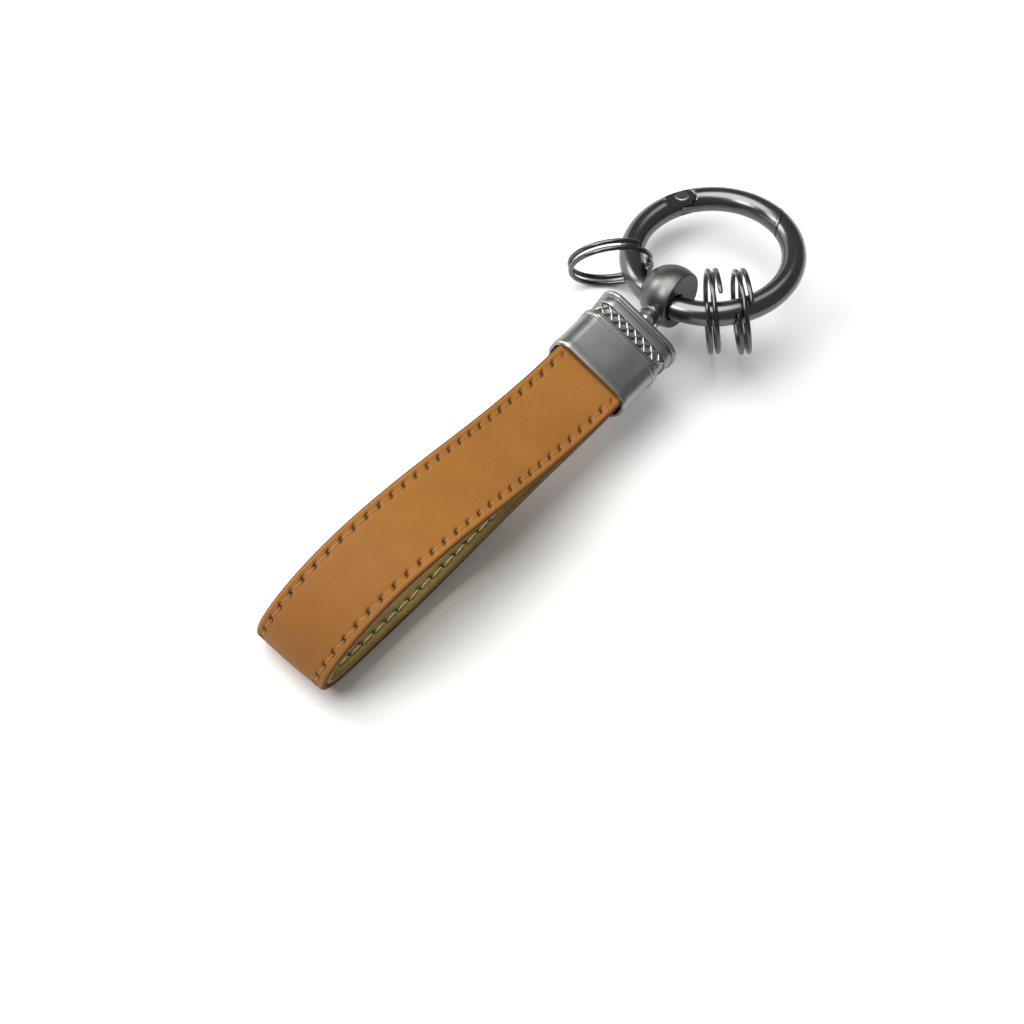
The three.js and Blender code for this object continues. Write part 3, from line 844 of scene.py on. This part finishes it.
def khaki_lining(settings):
    """Felted khaki microfibre lining: a dull, close face with a little tone across it."""
    material, tree, shader = new_material("khaki_microfibre_lining")
    place = add_node(tree, "ShaderNodeTexCoord")
    clouds = add_node(
        tree,
        "ShaderNodeTexNoise",
        inputs={"Scale": per_mm(9.0), "Detail": 3.0},
        links={"Vector": place.outputs["Object"]},
    )
    dark = tuple(c * LINING_SHADE for c in settings.lining_color)
    tone = add_node(tree, "ShaderNodeValToRGB", links={"Fac": clouds.outputs["Fac"]})
    tone.color_ramp.elements[0].position = 0.3
    tone.color_ramp.elements[0].color = solid_color(dark)
    tone.color_ramp.elements[1].position = 0.75
    tone.color_ramp.elements[1].color = solid_color(settings.lining_color)
    # Painted shade in the stitch holes
    hole = add_node(tree, "ShaderNodeAttribute", settings={"attribute_name": "hole"})
    hole_shaded = add_node(
        tree,
        "ShaderNodeMix",
        settings={"data_type": "RGBA"},
        inputs={"B": solid_color(linear("#1C140A"))},
        links={"Factor": hole.outputs["Fac"], "A": tone.outputs["Color"]},
    )
    tree.links.new(hole_shaded.outputs["Result"], shader.inputs["Base Color"])
    # The fibre is far finer than a pixel, so its grain is drawn at 0.5 mm.
    grain = add_node(
        tree,
        "ShaderNodeTexNoise",
        inputs={"Scale": per_mm(0.5), "Detail": 2.0},
        links={"Vector": place.outputs["Object"]},
    )
    bump = add_node(
        tree,
        "ShaderNodeBump",
        inputs={"Strength": 0.4, "Distance": 0.08 * MM},
        links={"Height": grain.outputs["Fac"]},
    )
    tree.links.new(bump.outputs["Normal"], shader.inputs["Normal"])
    shader.inputs["Roughness"].default_value = 0.9
    shader.inputs["Sheen Weight"].default_value = 0.1
    shader.inputs["Specular IOR Level"].default_value = 0.25
    return material


def waxed_thread(name, color):
    """Waxed polyester thread: two plies with a low shine, painted shade in the valleys between them and a
    little random tone in the fibre.
    """
    material, tree, shader = new_material(name)
    place = add_node(tree, "ShaderNodeTexCoord")
    fibre = add_node(
        tree,
        "ShaderNodeTexNoise",
        inputs={"Scale": per_mm(0.3), "Detail": 2.0},
        links={"Vector": place.outputs["Object"]},
    )
    # Painted shade in the valleys between the plies
    valley = add_node(tree, "ShaderNodeAttribute", settings={"attribute_name": "valley"})
    worn = add_node(
        tree,
        "ShaderNodeMapRange",
        inputs={"From Min": 0.3, "From Max": 0.7, "To Min": 0.0, "To Max": 0.35},
        links={"Value": fibre.outputs["Fac"]},
    )
    depth = add_node(
        tree,
        "ShaderNodeMath",
        settings={"operation": "MULTIPLY_ADD", "use_clamp": True},
        inputs={1: 0.2},
        links={0: valley.outputs["Fac"], 2: worn.outputs["Result"]},
    )
    tone = add_node(
        tree,
        "ShaderNodeMix",
        settings={"data_type": "RGBA"},
        inputs={"A": solid_color(color), "B": solid_color(tuple(c * THREAD_SHADE for c in color))},
        links={"Factor": depth.outputs["Value"]},
    )
    tree.links.new(tone.outputs["Result"], shader.inputs["Base Color"])
    shader.inputs["Roughness"].default_value = 0.55
    shader.inputs["Specular IOR Level"].default_value = 0.35
    return material


def plated_metal(name, color):
    """A metal of the table: its tone and roughness drift a little, and a blasted one keeps some grit."""
    low, high, grit = FINISHES[name]
    material, tree, shader = new_material(name)
    place = add_node(tree, "ShaderNodeTexCoord")
    drift = add_node(
        tree,
        "ShaderNodeTexNoise",
        inputs={"Scale": per_mm(6.0), "Detail": 3.0},
        links={"Vector": place.outputs["Object"]},
    )
    rough = add_node(
        tree,
        "ShaderNodeMapRange",
        inputs={"From Min": 0.3, "From Max": 0.7, "To Min": low, "To Max": high},
        links={"Value": drift.outputs["Fac"]},
    )
    tree.links.new(rough.outputs["Result"], shader.inputs["Roughness"])
    tone = add_node(
        tree,
        "ShaderNodeMix",
        settings={"data_type": "RGBA"},
        inputs={"A": solid_color(tuple(c * METAL_SHADE for c in color)), "B": solid_color(color)},
        links={"Factor": drift.outputs["Fac"]},
    )
    tree.links.new(tone.outputs["Result"], shader.inputs["Base Color"])
    if grit > 0:
        # Grit is drawn at 0.25 mm, coarse enough to break up the shine in the picture.
        specks = add_node(
            tree,
            "ShaderNodeTexNoise",
            inputs={"Scale": per_mm(0.25), "Detail": 1.0},
            links={"Vector": place.outputs["Object"]},
        )
        bump = add_node(
            tree,
            "ShaderNodeBump",
            inputs={"Strength": grit, "Distance": 0.01 * MM},
            links={"Height": specks.outputs["Fac"]},
        )
        tree.links.new(bump.outputs["Normal"], shader.inputs["Normal"])
    shader.inputs["Metallic"].default_value = 1.0
    return material


def dress(piece, material):
    """Gives a piece one material."""
    piece.data.materials.clear()
    piece.data.materials.append(material)


# Strap pieces

def burnish_and_shade(turn):
    """How dark the edge is made, partly by burnish and partly by painted shade: none on the face's side of
    the rounding, full on the lining's side.
    """
    return eased((math.degrees(turn) - BURNISH_AND_SHADE_START) / BURNISH_AND_SHADE_RUN)


def row_valley(across, depth):
    """Depth of the valley that the thread's pull leaves along each stitched row."""
    off_row = (abs(across) - ROW_OFFSET) / VALLEY_HALF
    return depth * math.exp(-off_row * off_row)


def sheet_edges(half, rounding, middle, reach, steps, back, shares):
    """The edges and hidden back of a sheet's section, as across, depth and the angle round the edge."""
    flat = half - rounding
    one_edge = []
    for k in range(1, steps + 1):
        turn = math.radians(180 / (steps + 1) * k)
        one_edge.append((flat + rounding * math.sin(turn), middle + reach * math.cos(turn), turn))
    hidden = [(share * flat, back, 0.0) for share in shares]
    other_edge = [(-across, depth, turn) for across, depth, turn in reversed(one_edge)]
    return one_edge + hidden + other_edge


def sheet_piece(name, stations, section, tones):
    """Sweeps a section along the strap; its points are across, depth and a value for each named tone."""
    verts = []
    values = {tone: [] for tone in tones}
    for i in range(stations + 1):
        run = STRAP_LENGTH * i / stations
        station = strap_station(run)
        for across, depth, *shares in section(run, station):
            verts.append(strap_placed(station, across, depth))
            for tone, share in zip(tones, shares):
                values[tone].append(share)
    around = len(verts) // (stations + 1)
    piece = new_piece(name, verts, ring_faces(stations + 1, around), "strap")
    outward(piece)
    for tone in tones:
        point_values(piece, tone, values[tone])
    return piece


def build_leather(settings):
    """The outer leather, with its crown and stitch holes; its edges are burnished and carry painted shade on
    the lining's side, and painted shade darkens the holes and the face towards the fold.
    """
    pitch = settings.stitch_pitch / MM
    rounding = settings.edge_round / MM
    middle = LEATHER_THICK / 2
    tuck = min(rounding, middle)
    face = across_samples(STRAP_HALF, rounding)
    sides = sheet_edges(
        STRAP_HALF, rounding, middle, -tuck, LEATHER_EDGE_STEPS, LEATHER_THICK, LEATHER_BACK
    )
    rest = [(across, depth, 0.0, burnish_and_shade(turn)) for across, depth, turn in sides]

    def section(run, station):
        free = in_open(run)
        # Painted shade on the face, growing towards the fold; it is carried in the edge tone
        fold_shade = FOLD_SHADE * held((FOLD_SHADE_X - station[0].x) / FOLD_SHADE_RUN)
        ring = []
        for across in face:
            hole = hole_share(run, across, pitch)
            valley = row_valley(across, LEATHER_VALLEY)
            crown = CROWN_RISE * max(0.0, 1 - (across / CROWN_HALF) ** 2)
            wave = noise.noise(Vector((run / WAVE_RUN, across / WAVE_ACROSS, WAVE_LAYER))) * WAVE_RISE
            depth = free * (valley - crown + wave + LEATHER_HOLE * hole)
            depth = max(depth, -over_floor(station, across))
            ring.append((across, depth, min(1.0, hole * LEATHER_HOLE_SHADE) * free, fold_shade))
        return ring + rest

    stations = int(STRAP_LENGTH / (pitch / LEATHER_STATIONS))
    piece = sheet_piece("strap_leather_face", stations, section, ("hole", "edge"))
    dress(piece, nubuck_leather(settings))
    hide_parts("strap_leather")


def build_lining(settings):
    """The lining, whose face is the inside of the loop."""
    pitch = settings.stitch_pitch / MM
    middle = (LINING_NEAR + LINING_FAR) / 2
    half = (LINING_FAR - LINING_NEAR) / 2
    face = across_samples(LINING_HALF, LINING_ROUND)
    sides = sheet_edges(
        LINING_HALF, LINING_ROUND, middle, half, LINING_EDGE_STEPS, LINING_NEAR, LINING_BACK
    )
    rest = [(across, depth, 0.0) for across, depth, _ in sides]

    def section(run, station):
        free = in_open(run)
        ring = []
        for across in face:
            hole = hole_share(run, across, pitch)
            depth = LINING_FAR - free * (row_valley(across, LINING_VALLEY) + LINING_HOLE * hole)
            ring.append((across, depth, min(1.0, hole * LINING_HOLE_SHADE) * free))
        return ring + rest

    stations = int(STRAP_LENGTH / (pitch / LINING_STATIONS))
    piece = sheet_piece("strap_lining_face", stations, section, ("hole",))
    dress(piece, khaki_lining(settings))
    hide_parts("strap_lining")


def ply_height(t, turn):
    """1 on a ply of the twisted thread, -1 in the valley between two."""
    return math.cos(2 * (turn - 2 * math.pi * PLY_TURNS * t))


def stitch_row(name, settings, side, surface, proud):
    """One row of two-ply stitches; surface is the depth of the face, proud is 1 outward or -1 inward."""
    radius = settings.thread_radius / MM
    rise = OUTER_RISE if proud > 0 else INNER_RISE
    middle_ring = STITCH_RINGS // 2

    def reach(t, turn):
        ends = THREAD_END + (1 - THREAD_END) * math.sin(math.pi * t) ** 0.5
        return radius * MM * ends * (1.0 + PLY_DEPTH * ply_height(t, turn))

    verts = []
    faces = []
    ply_shades = []
    holes = stitch_holes(settings.stitch_pitch / MM)
    for one, two in zip(holes, holes[1:]):
        base = len(verts)
        path = []
        for i in range(STITCH_RINGS):
            t = i / (STITCH_RINGS - 1)
            run = one + STITCH_INSET + (two - one - 2 * STITCH_INSET) * t
            across = side * ROW_OFFSET - STITCH_SLANT * (1 - 2 * t)
            lift = rise * math.sin(math.pi * t) ** ARCH_POWER - STITCH_SINK
            station = strap_station(run)
            if proud > 0:
                lift = min(lift, over_floor(station, across) - FLOOR_ROOM * radius)
            path.append((station, across, surface - proud * lift))
            for k in range(STITCH_SIDES):
                # Painted shade for the valleys between the plies
                ply_shades.append(0.5 - 0.5 * ply_height(t, 2 * math.pi * k / STITCH_SIDES))
        points = [strap_placed(*p) for p in path]
        middle, across, depth = path[middle_ring]
        up = (strap_placed(middle, across, depth - 1.0) - points[middle_ring]).normalized()
        verts.extend(tube(points, reach, STITCH_SIDES, up))
        faces.extend(tuple(base + v for v in f) for f in ring_faces(STITCH_RINGS, STITCH_SIDES))
    piece = new_piece(name, verts, faces, "strap")
    outward(piece)
    point_values(piece, "valley", ply_shades)
    return piece


def build_stitches(settings):
    """Four rows of stitches, two on the leather and two on the lining."""
    outer = waxed_thread("tan_waxed_thread", settings.thread_color)
    inner = waxed_thread("cream_waxed_thread", settings.inner_thread_color)
    for row, side in ROWS:
        piece = stitch_row("stitches_outer_" + row, settings, side, 0.0, 1)
        dress(piece, outer)
        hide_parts("thread_outer_" + row)
        piece = stitch_row("stitches_inner_" + row, settings, side, LINING_FAR, -1)
        dress(piece, inner)
        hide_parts("thread_inner_" + row)


# Clamp

def clamp_placed(x, y, z):
    """A point drawn about the clamp's own axis, rolled as the clamp lies, in the frame, in metres."""
    c = math.cos(CLAMP_ROLL)
    s = math.sin(CLAMP_ROLL)
    return placed(x, y * c - z * s, y * s + z * c + AXIS_HEIGHT)


def rounded_ring(half_wide, half_high, corner, x, crown=0.0):
    """Points of a rounded rectangle across the clamp, the same number for every size."""
    points = []
    for side_y, side_z, start in ((1, 1, 0), (-1, 1, 90), (-1, -1, 180), (1, -1, 270)):
        for k in range(CORNER_STEPS + 1):
            turn = math.radians(start + 90 * k / CORNER_STEPS)
            y = side_y * (half_wide - corner) + corner * math.cos(turn)
            z = side_z * (half_high - corner) + corner * math.sin(turn)
            z -= side_z * crown * (y / half_wide) ** 2
            points.append(clamp_placed(x, y, z))
    return points


def clamp_ring(along, grow):
    """The clamp's outside at a distance from its mouth, standing out by a little more or less."""
    narrow = CLAMP_NARROWING * along / CLAMP_LENGTH
    half_wide = CLAMP_HALF_WIDE - narrow + grow
    return rounded_ring(half_wide, CLAMP_HALF_HIGH + grow, CLAMP_CORNER, MOUTH_X + along, CLAMP_CROWN)


def build_clamp(settings):
    """The clamp, as one closed skin outside and inside, and its crosses."""
    rings = [clamp_ring(along, grow) for along, grow in CLAMP_SKIN]
    rings.extend(rounded_ring(*hollow) for hollow in CLAMP_HOLLOW)
    around = len(rings[0])
    verts = [p for ring in rings for p in ring]
    piece = new_piece("clamp_body", verts, ring_faces(len(rings), around, closed_run=True), "strap")
    outward(piece)
    crisp(piece, degrees=50)
    dress(piece, plated_metal("satin_gunmetal_plate", settings.clamp_color))
    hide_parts("clamp_shell")
    build_crosses()


def build_crosses():
    """Raised crosses in the sunk band of both broad faces; the outer ones follow the rounded corners."""
    verts = []
    faces = []
    middle = MOUTH_X + (BAND_START + BAND_END) / 2
    half_run = (BAND_END - BAND_START) / 2 - CROSS_END_GAP
    half_side = CROSS_PITCH / 2 - CROSS_SIDE_GAP
    flat_half = CLAMP_HALF_WIDE - BAND_DEPTH - CLAMP_CORNER
    corner_height = CLAMP_HALF_HIGH - BAND_DEPTH - CLAMP_CORNER
    for face in (1, -1):
        for k in range(CROSS_COUNT):
            run = (k - (CROSS_COUNT - 1) / 2) * CROSS_PITCH
            for lean in (1, -1):
                base = len(verts)
                for i in range(BAR_RINGS):
                    t = 2 * i / (BAR_RINGS - 1) - 1
                    high = BAR_RISE - BAR_FALL * t * t
                    for s in range(BAR_SIDES):
                        turn = math.pi * s / (BAR_SIDES - 1)
                        aside = BAR_HALF * math.cos(turn)
                        along = t * half_run - lean * aside * BAR_LEAN
                        across = run + t * lean * half_side + aside * BAR_LEAN
                        flat = min(max(across, -flat_half), flat_half)
                        bend = (across - flat) / CLAMP_CORNER
                        reach = CLAMP_CORNER - BAR_SINK + high * math.sin(turn)
                        y = flat + reach * math.sin(bend)
                        z = corner_height + reach * math.cos(bend)
                        z -= CLAMP_CROWN * (y / CLAMP_HALF_WIDE) ** 2
                        verts.append(clamp_placed(middle + along, face * y, face * z))
                faces.extend(tuple(base + v for v in f) for f in ring_faces(BAR_RINGS, BAR_SIDES))
    piece = new_piece("clamp_crosses", verts, faces, "strap")
    outward(piece)
    crisp(piece, degrees=60)
    dress(piece, plated_metal("bright_rubbed_plate", linear("#9A9B97")))


# Swivel

def build_bush(settings):
    """The bush pressed into the clamp's end, with its rounded flange."""
    verts = turned(BUSH_PROFILE, BUSH_SIDES)
    faces = ring_faces(len(BUSH_PROFILE), BUSH_SIDES, closed_run=True)
    piece = new_piece("swivel_bush_flange", verts, faces, "strap")
    outward(piece)
    crisp(piece, degrees=40)
    dress(piece, plated_metal("polished_nickel", settings.bush_color))
    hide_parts("swivel_bush")


def finished_copy(node, name, body, degrees):
    """A welded copy of a CAD node, with smooth shading that breaks only at its milled edges."""
    work = bmesh.new()
    work.from_mesh(frame["nodes"][node].data)
    bmesh.ops.remove_doubles(work, verts=work.verts, dist=WELD_DISTANCE * MM)
    bmesh.ops.dissolve_limit(work, angle_limit=LEVEL_ANGLE, verts=work.verts, edges=work.edges)
    mesh = bpy.data.meshes.new(name)
    work.to_mesh(mesh)
    work.free()
    piece = bpy.data.objects.new(name, mesh)
    bpy.context.scene.collection.objects.link(piece)
    crisp(piece, degrees)
    weighted = piece.modifiers.new("even_shading", "WEIGHTED_NORMAL")
    weighted.keep_sharp = True
    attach(piece, body)
    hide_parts(node)
    return piece


def finish_ball(piece):
    """Breaks the rim of the ball's flat face, and marks that face for its painted dark reflection and the
    stem's collar for its plate.
    """
    work = bmesh.new()
    work.from_mesh(piece.data)
    center = placed(*BALL_CENTER)
    facing = Vector((0.0, -math.cos(RING_TILT), math.sin(RING_TILT)))
    flat = []
    for face in work.faces:
        depth = (face.calc_center_median() - center).dot(facing) / MM
        if face.normal.dot(facing) > FLAT_FACING and abs(depth - FLAT_DEPTH) < FLAT_SLACK:
            flat.append(face)
    flat_set = set(flat)
    rim = []
    for face in flat:
        for edge in face.edges:
            far = min((v.co - center).length for v in edge.verts) / MM > RIM_REACH
            if far and any(other not in flat_set for other in edge.link_faces):
                rim.append(edge)
    for face in work.faces:
        face.material_index = BALL_PLATE
        if (face.calc_center_median() - center).x / MM < COLLAR_END_X - BALL_CENTER[0]:
            face.material_index = COLLAR_PLATE
    for face in flat:
        face.material_index = FLAT_DARK_REFLECTION
    bmesh.ops.bevel(
        work,
        geom=rim,
        offset=RIM_BREAK * MM,
        segments=3,
        profile=0.5,
        affect="EDGES",
        material=BALL_PLATE,
    )
    work.to_mesh(piece.data)
    work.free()


def build_swivel(settings):
    """The ball on its stem, and the washer that keeps the stem in the bush."""
    piece = finished_copy("swivel_head", "swivel_ball", "swivel", degrees=26)
    finish_ball(piece)
    dress(piece, plated_metal("satin_black_nickel", linear("#636462")))
    # Painted dark reflection: the flat face is coloured nearly black
    piece.data.materials.append(plated_metal("painted_dark_reflection_nickel", linear("#242423")))
    piece.data.materials.append(plated_metal("turned_bright_nickel", settings.bush_color))
    piece = finished_copy("swivel_washer", "swivel_keeper", "swivel", degrees=40)
    dress(piece, plated_metal("turned_steel", linear("#A6A7A8")))


# Spring-gate ring

def build_ring(settings):
    """The wire ring, its gate, the hinge rivet, and the push pin and coil in the wire's bore."""
    plate = plated_metal("polished_black_nickel", settings.ring_color)
    steel = plated_metal("drawn_spring_steel", linear("#A0A1A2"))
    for node, name, body in (("ring_body", "ring_wire", "ring"), ("ring_gate", "gate_wire", "gate")):
        piece = finished_copy(node, name, body, degrees=30)
        dress(piece, plate)
    piece = finished_copy("gate_rivet", "gate_hinge_rivet", "ring", degrees=35)
    dress(piece, plated_metal("black_nickel_rivet", linear("#8C8D8B")))
    piece = finished_copy("gate_plunger", "gate_push_pin", "ring", degrees=40)
    dress(piece, steel)
    piece = finished_copy("gate_spring", "gate_return_coil", "ring", degrees=80)
    dress(piece, steel)


def wire_reach(share):
    """Half the split wire's thickness on one side, from the sine or cosine of the angle round it."""
    return SPLIT_WIRE_HALF * math.copysign(abs(share) ** SPLIT_WIRE_POWER, share)


def build_split_rings(settings):
    """Three split rings, each one unbroken wire of nearly two turns."""
    plate = plated_metal("black_nickel_wire", linear("#595A58"))
    sides = settings.wire_sides
    steps = int(STEPS_PER_TURN * SPLIT_TURNS)
    for node, body, degrees, yaw_by, pitch_by, out_by, up_by, start in SPLIT_RINGS:
        turn = math.radians(degrees)
        yaw = math.radians(yaw_by)
        pitch = math.radians(pitch_by)
        axis = Vector((math.sin(yaw) * math.cos(pitch), math.cos(yaw) * math.cos(pitch), math.sin(pitch)))
        up = (Vector((0.0, 0.0, 1.0)) - axis * axis.z).normalized()
        out = up.cross(axis)
        on_wire = Vector((-math.cos(turn), math.sin(turn), 0.0)) * RING_RADIUS
        center = on_wire + out * out_by + up * up_by
        verts = []
        for i in range(steps + 1):
            at = i / steps
            angle = start + 2 * math.pi * SPLIT_TURNS * at
            radial = out * math.cos(angle) + up * math.sin(angle)
            point = center + radial * SPLIT_RADIUS + axis * (SPLIT_PITCH * SPLIT_TURNS * (at - 0.5))
            from_end = min(i, steps - i)
            taper = SPLIT_TAPER[from_end] if from_end < len(SPLIT_TAPER) else 1.0
            for k in range(sides):
                around = 2 * math.pi * k / sides
                wide = wire_reach(math.cos(around))
                tall = wire_reach(math.sin(around))
                verts.append(ring_placed(point + radial * wide * taper + axis * tall * taper))
        piece = new_piece(node + "_wire", verts, ring_faces(steps + 1, sides), body)
        outward(piece)
        crisp(piece, degrees=50)
        dress(piece, plate)
        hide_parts(node)


# Stage

def area_light(name, place, aim, size, power, color):
    """A round soft light that faces a place."""
    data = bpy.data.lights.new(name, "AREA")
    data.shape = "DISK"
    data.size = size
    data.energy = power
    data.color = color
    light = bpy.data.objects.new(name, data)
    light.location = place
    light.rotation_euler = (Vector(aim) - Vector(place)).to_track_quat("-Z", "Y").to_euler()
    bpy.context.scene.collection.objects.link(light)


def build_floor(settings):
    """A pale floor of matt white card: it takes soft shadows and shows no shine."""
    half = FLOOR_HALF
    verts = [(-half, -half, 0), (half, -half, 0), (half, half, 0), (-half, half, 0)]
    mesh = bpy.data.meshes.new("floor")
    mesh.from_pydata(verts, [], [(0, 1, 2, 3)])
    floor = bpy.data.objects.new("floor", mesh)
    bpy.context.scene.collection.objects.link(floor)
    material, _, shader = new_material("matt_white_card")
    shader.inputs["Base Color"].default_value = solid_color(settings.floor_color)
    shader.inputs["Roughness"].default_value = 0.9
    shader.inputs["Specular IOR Level"].default_value = 0.1
    mesh.materials.append(material)


def build_camera():
    """The camera at the photograph's viewing angle."""
    data = bpy.data.cameras.new("camera")
    data.sensor_width = SENSOR_MM
    data.lens = CAMERA_FOCAL_PX / PICTURE_PX * SENSOR_MM
    data.clip_start = CLIP_START
    camera = bpy.data.objects.new("camera", data)
    axes = Matrix((CAMERA_RIGHT, CAMERA_UP, CAMERA_BACK)).transposed().to_4x4()
    axes.translation = (CAMERA_TARGET + CAMERA_BACK * CAMERA_DISTANCE) * MM
    camera.matrix_world = axes
    bpy.context.scene.collection.objects.link(camera)
    bpy.context.scene.camera = camera


def build_stage(settings):
    """The floor, the plain white surroundings, the soft lights and the camera."""
    build_floor(settings)
    world = bpy.data.worlds.new("studio")
    world.use_nodes = True
    back = world.node_tree.nodes["Background"]
    back.inputs["Color"].default_value = (1.0, 1.0, 1.0, 1.0)
    back.inputs["Strength"].default_value = WORLD_STRENGTH
    bpy.context.scene.world = world
    for name, place, aim, size, share, color in SOFTBOXES:
        area_light(name, place, aim, size, settings.key_power * share, color)
    bpy.context.scene.view_settings.view_transform = "Standard"
    build_camera()


# Operators, one for each piece or group of pieces

class KEYCHAIN_OT_stage(bpy.types.Operator):
    """Sets up the camera, the pale floor and the soft lights"""

    bl_idname = "keychain.stage"
    bl_label = "Stage"

    def execute(self, context):
        build_stage(context.scene.keychain_stage)
        return {"FINISHED"}


class KEYCHAIN_OT_leather(bpy.types.Operator):
    """Builds the strap's outer leather with its stitch holes and burnished edges, and the painted shade in
    its holes, on its edges and towards the fold
    """

    bl_idname = "keychain.leather"
    bl_label = "Strap leather"

    def execute(self, context):
        build_leather(context.scene.keychain_strap)
        return {"FINISHED"}


class KEYCHAIN_OT_lining(bpy.types.Operator):
    """Builds the khaki lining inside the loop"""

    bl_idname = "keychain.lining"
    bl_label = "Strap lining"

    def execute(self, context):
        build_lining(context.scene.keychain_strap)
        return {"FINISHED"}


class KEYCHAIN_OT_stitches(bpy.types.Operator):
    """Sews the four rows of two-ply stitches"""

    bl_idname = "keychain.stitches"
    bl_label = "Stitches"

    def execute(self, context):
        build_stitches(context.scene.keychain_strap)
        return {"FINISHED"}


class KEYCHAIN_OT_clamp(bpy.types.Operator):
    """Builds the clamp with its beads and band of crosses, and the bush in its end"""

    bl_idname = "keychain.clamp"
    bl_label = "Clamp"

    def execute(self, context):
        build_clamp(context.scene.keychain_metal)
        build_bush(context.scene.keychain_metal)
        return {"FINISHED"}


class KEYCHAIN_OT_swivel(bpy.types.Operator):
    """Finishes the swivel ball and its washer"""

    bl_idname = "keychain.swivel"
    bl_label = "Swivel"

    def execute(self, context):
        build_swivel(context.scene.keychain_metal)
        return {"FINISHED"}


class KEYCHAIN_OT_ring(bpy.types.Operator):
    """Finishes the spring-gate ring, its gate, rivet, pin and coil"""

    bl_idname = "keychain.ring"
    bl_label = "Spring-gate ring"

    def execute(self, context):
        build_ring(context.scene.keychain_metal)
        return {"FINISHED"}


class KEYCHAIN_OT_split_rings(bpy.types.Operator):
    """Winds the three split rings"""

    bl_idname = "keychain.split_rings"
    bl_label = "Split rings"

    def execute(self, context):
        build_split_rings(context.scene.keychain_metal)
        return {"FINISHED"}


OPERATORS = (
    KEYCHAIN_OT_stage,
    KEYCHAIN_OT_leather,
    KEYCHAIN_OT_lining,
    KEYCHAIN_OT_stitches,
    KEYCHAIN_OT_clamp,
    KEYCHAIN_OT_swivel,
    KEYCHAIN_OT_ring,
    KEYCHAIN_OT_split_rings,
)


class KEYCHAIN_PT_panel(bpy.types.Panel):
    """Lists the keychain's pieces in the sidebar"""

    bl_idname = "KEYCHAIN_PT_panel"
    bl_label = "Leather keychain"
    bl_space_type = "VIEW_3D"
    bl_region_type = "UI"
    bl_category = "Keychain"

    def draw(self, context):
        for operator in OPERATORS:
            self.layout.operator(operator.bl_idname)


SETTINGS = (StrapSettings, MetalSettings, StageSettings)
CLASSES = SETTINGS + OPERATORS + (KEYCHAIN_PT_panel,)


def register():
    """Registers the classes and hangs the settings on the scene."""
    for item in CLASSES:
        bpy.utils.register_class(item)
    bpy.types.Scene.keychain_strap = PointerProperty(type=StrapSettings)
    bpy.types.Scene.keychain_metal = PointerProperty(type=MetalSettings)
    bpy.types.Scene.keychain_stage = PointerProperty(type=StageSettings)


def unregister():
    """Takes back what register did."""
    del bpy.types.Scene.keychain_stage
    del bpy.types.Scene.keychain_metal
    del bpy.types.Scene.keychain_strap
    for item in reversed(CLASSES):
        bpy.utils.unregister_class(item)


def main():
    """Builds the keychain piece by piece."""
    register()
    bpy.ops.keychain.stage()
    bpy.ops.keychain.leather()
    bpy.ops.keychain.lining()
    bpy.ops.keychain.stitches()
    bpy.ops.keychain.clamp()
    bpy.ops.keychain.swivel()
    bpy.ops.keychain.ring()
    bpy.ops.keychain.split_rings()


if __name__ == "__main__":
    main()
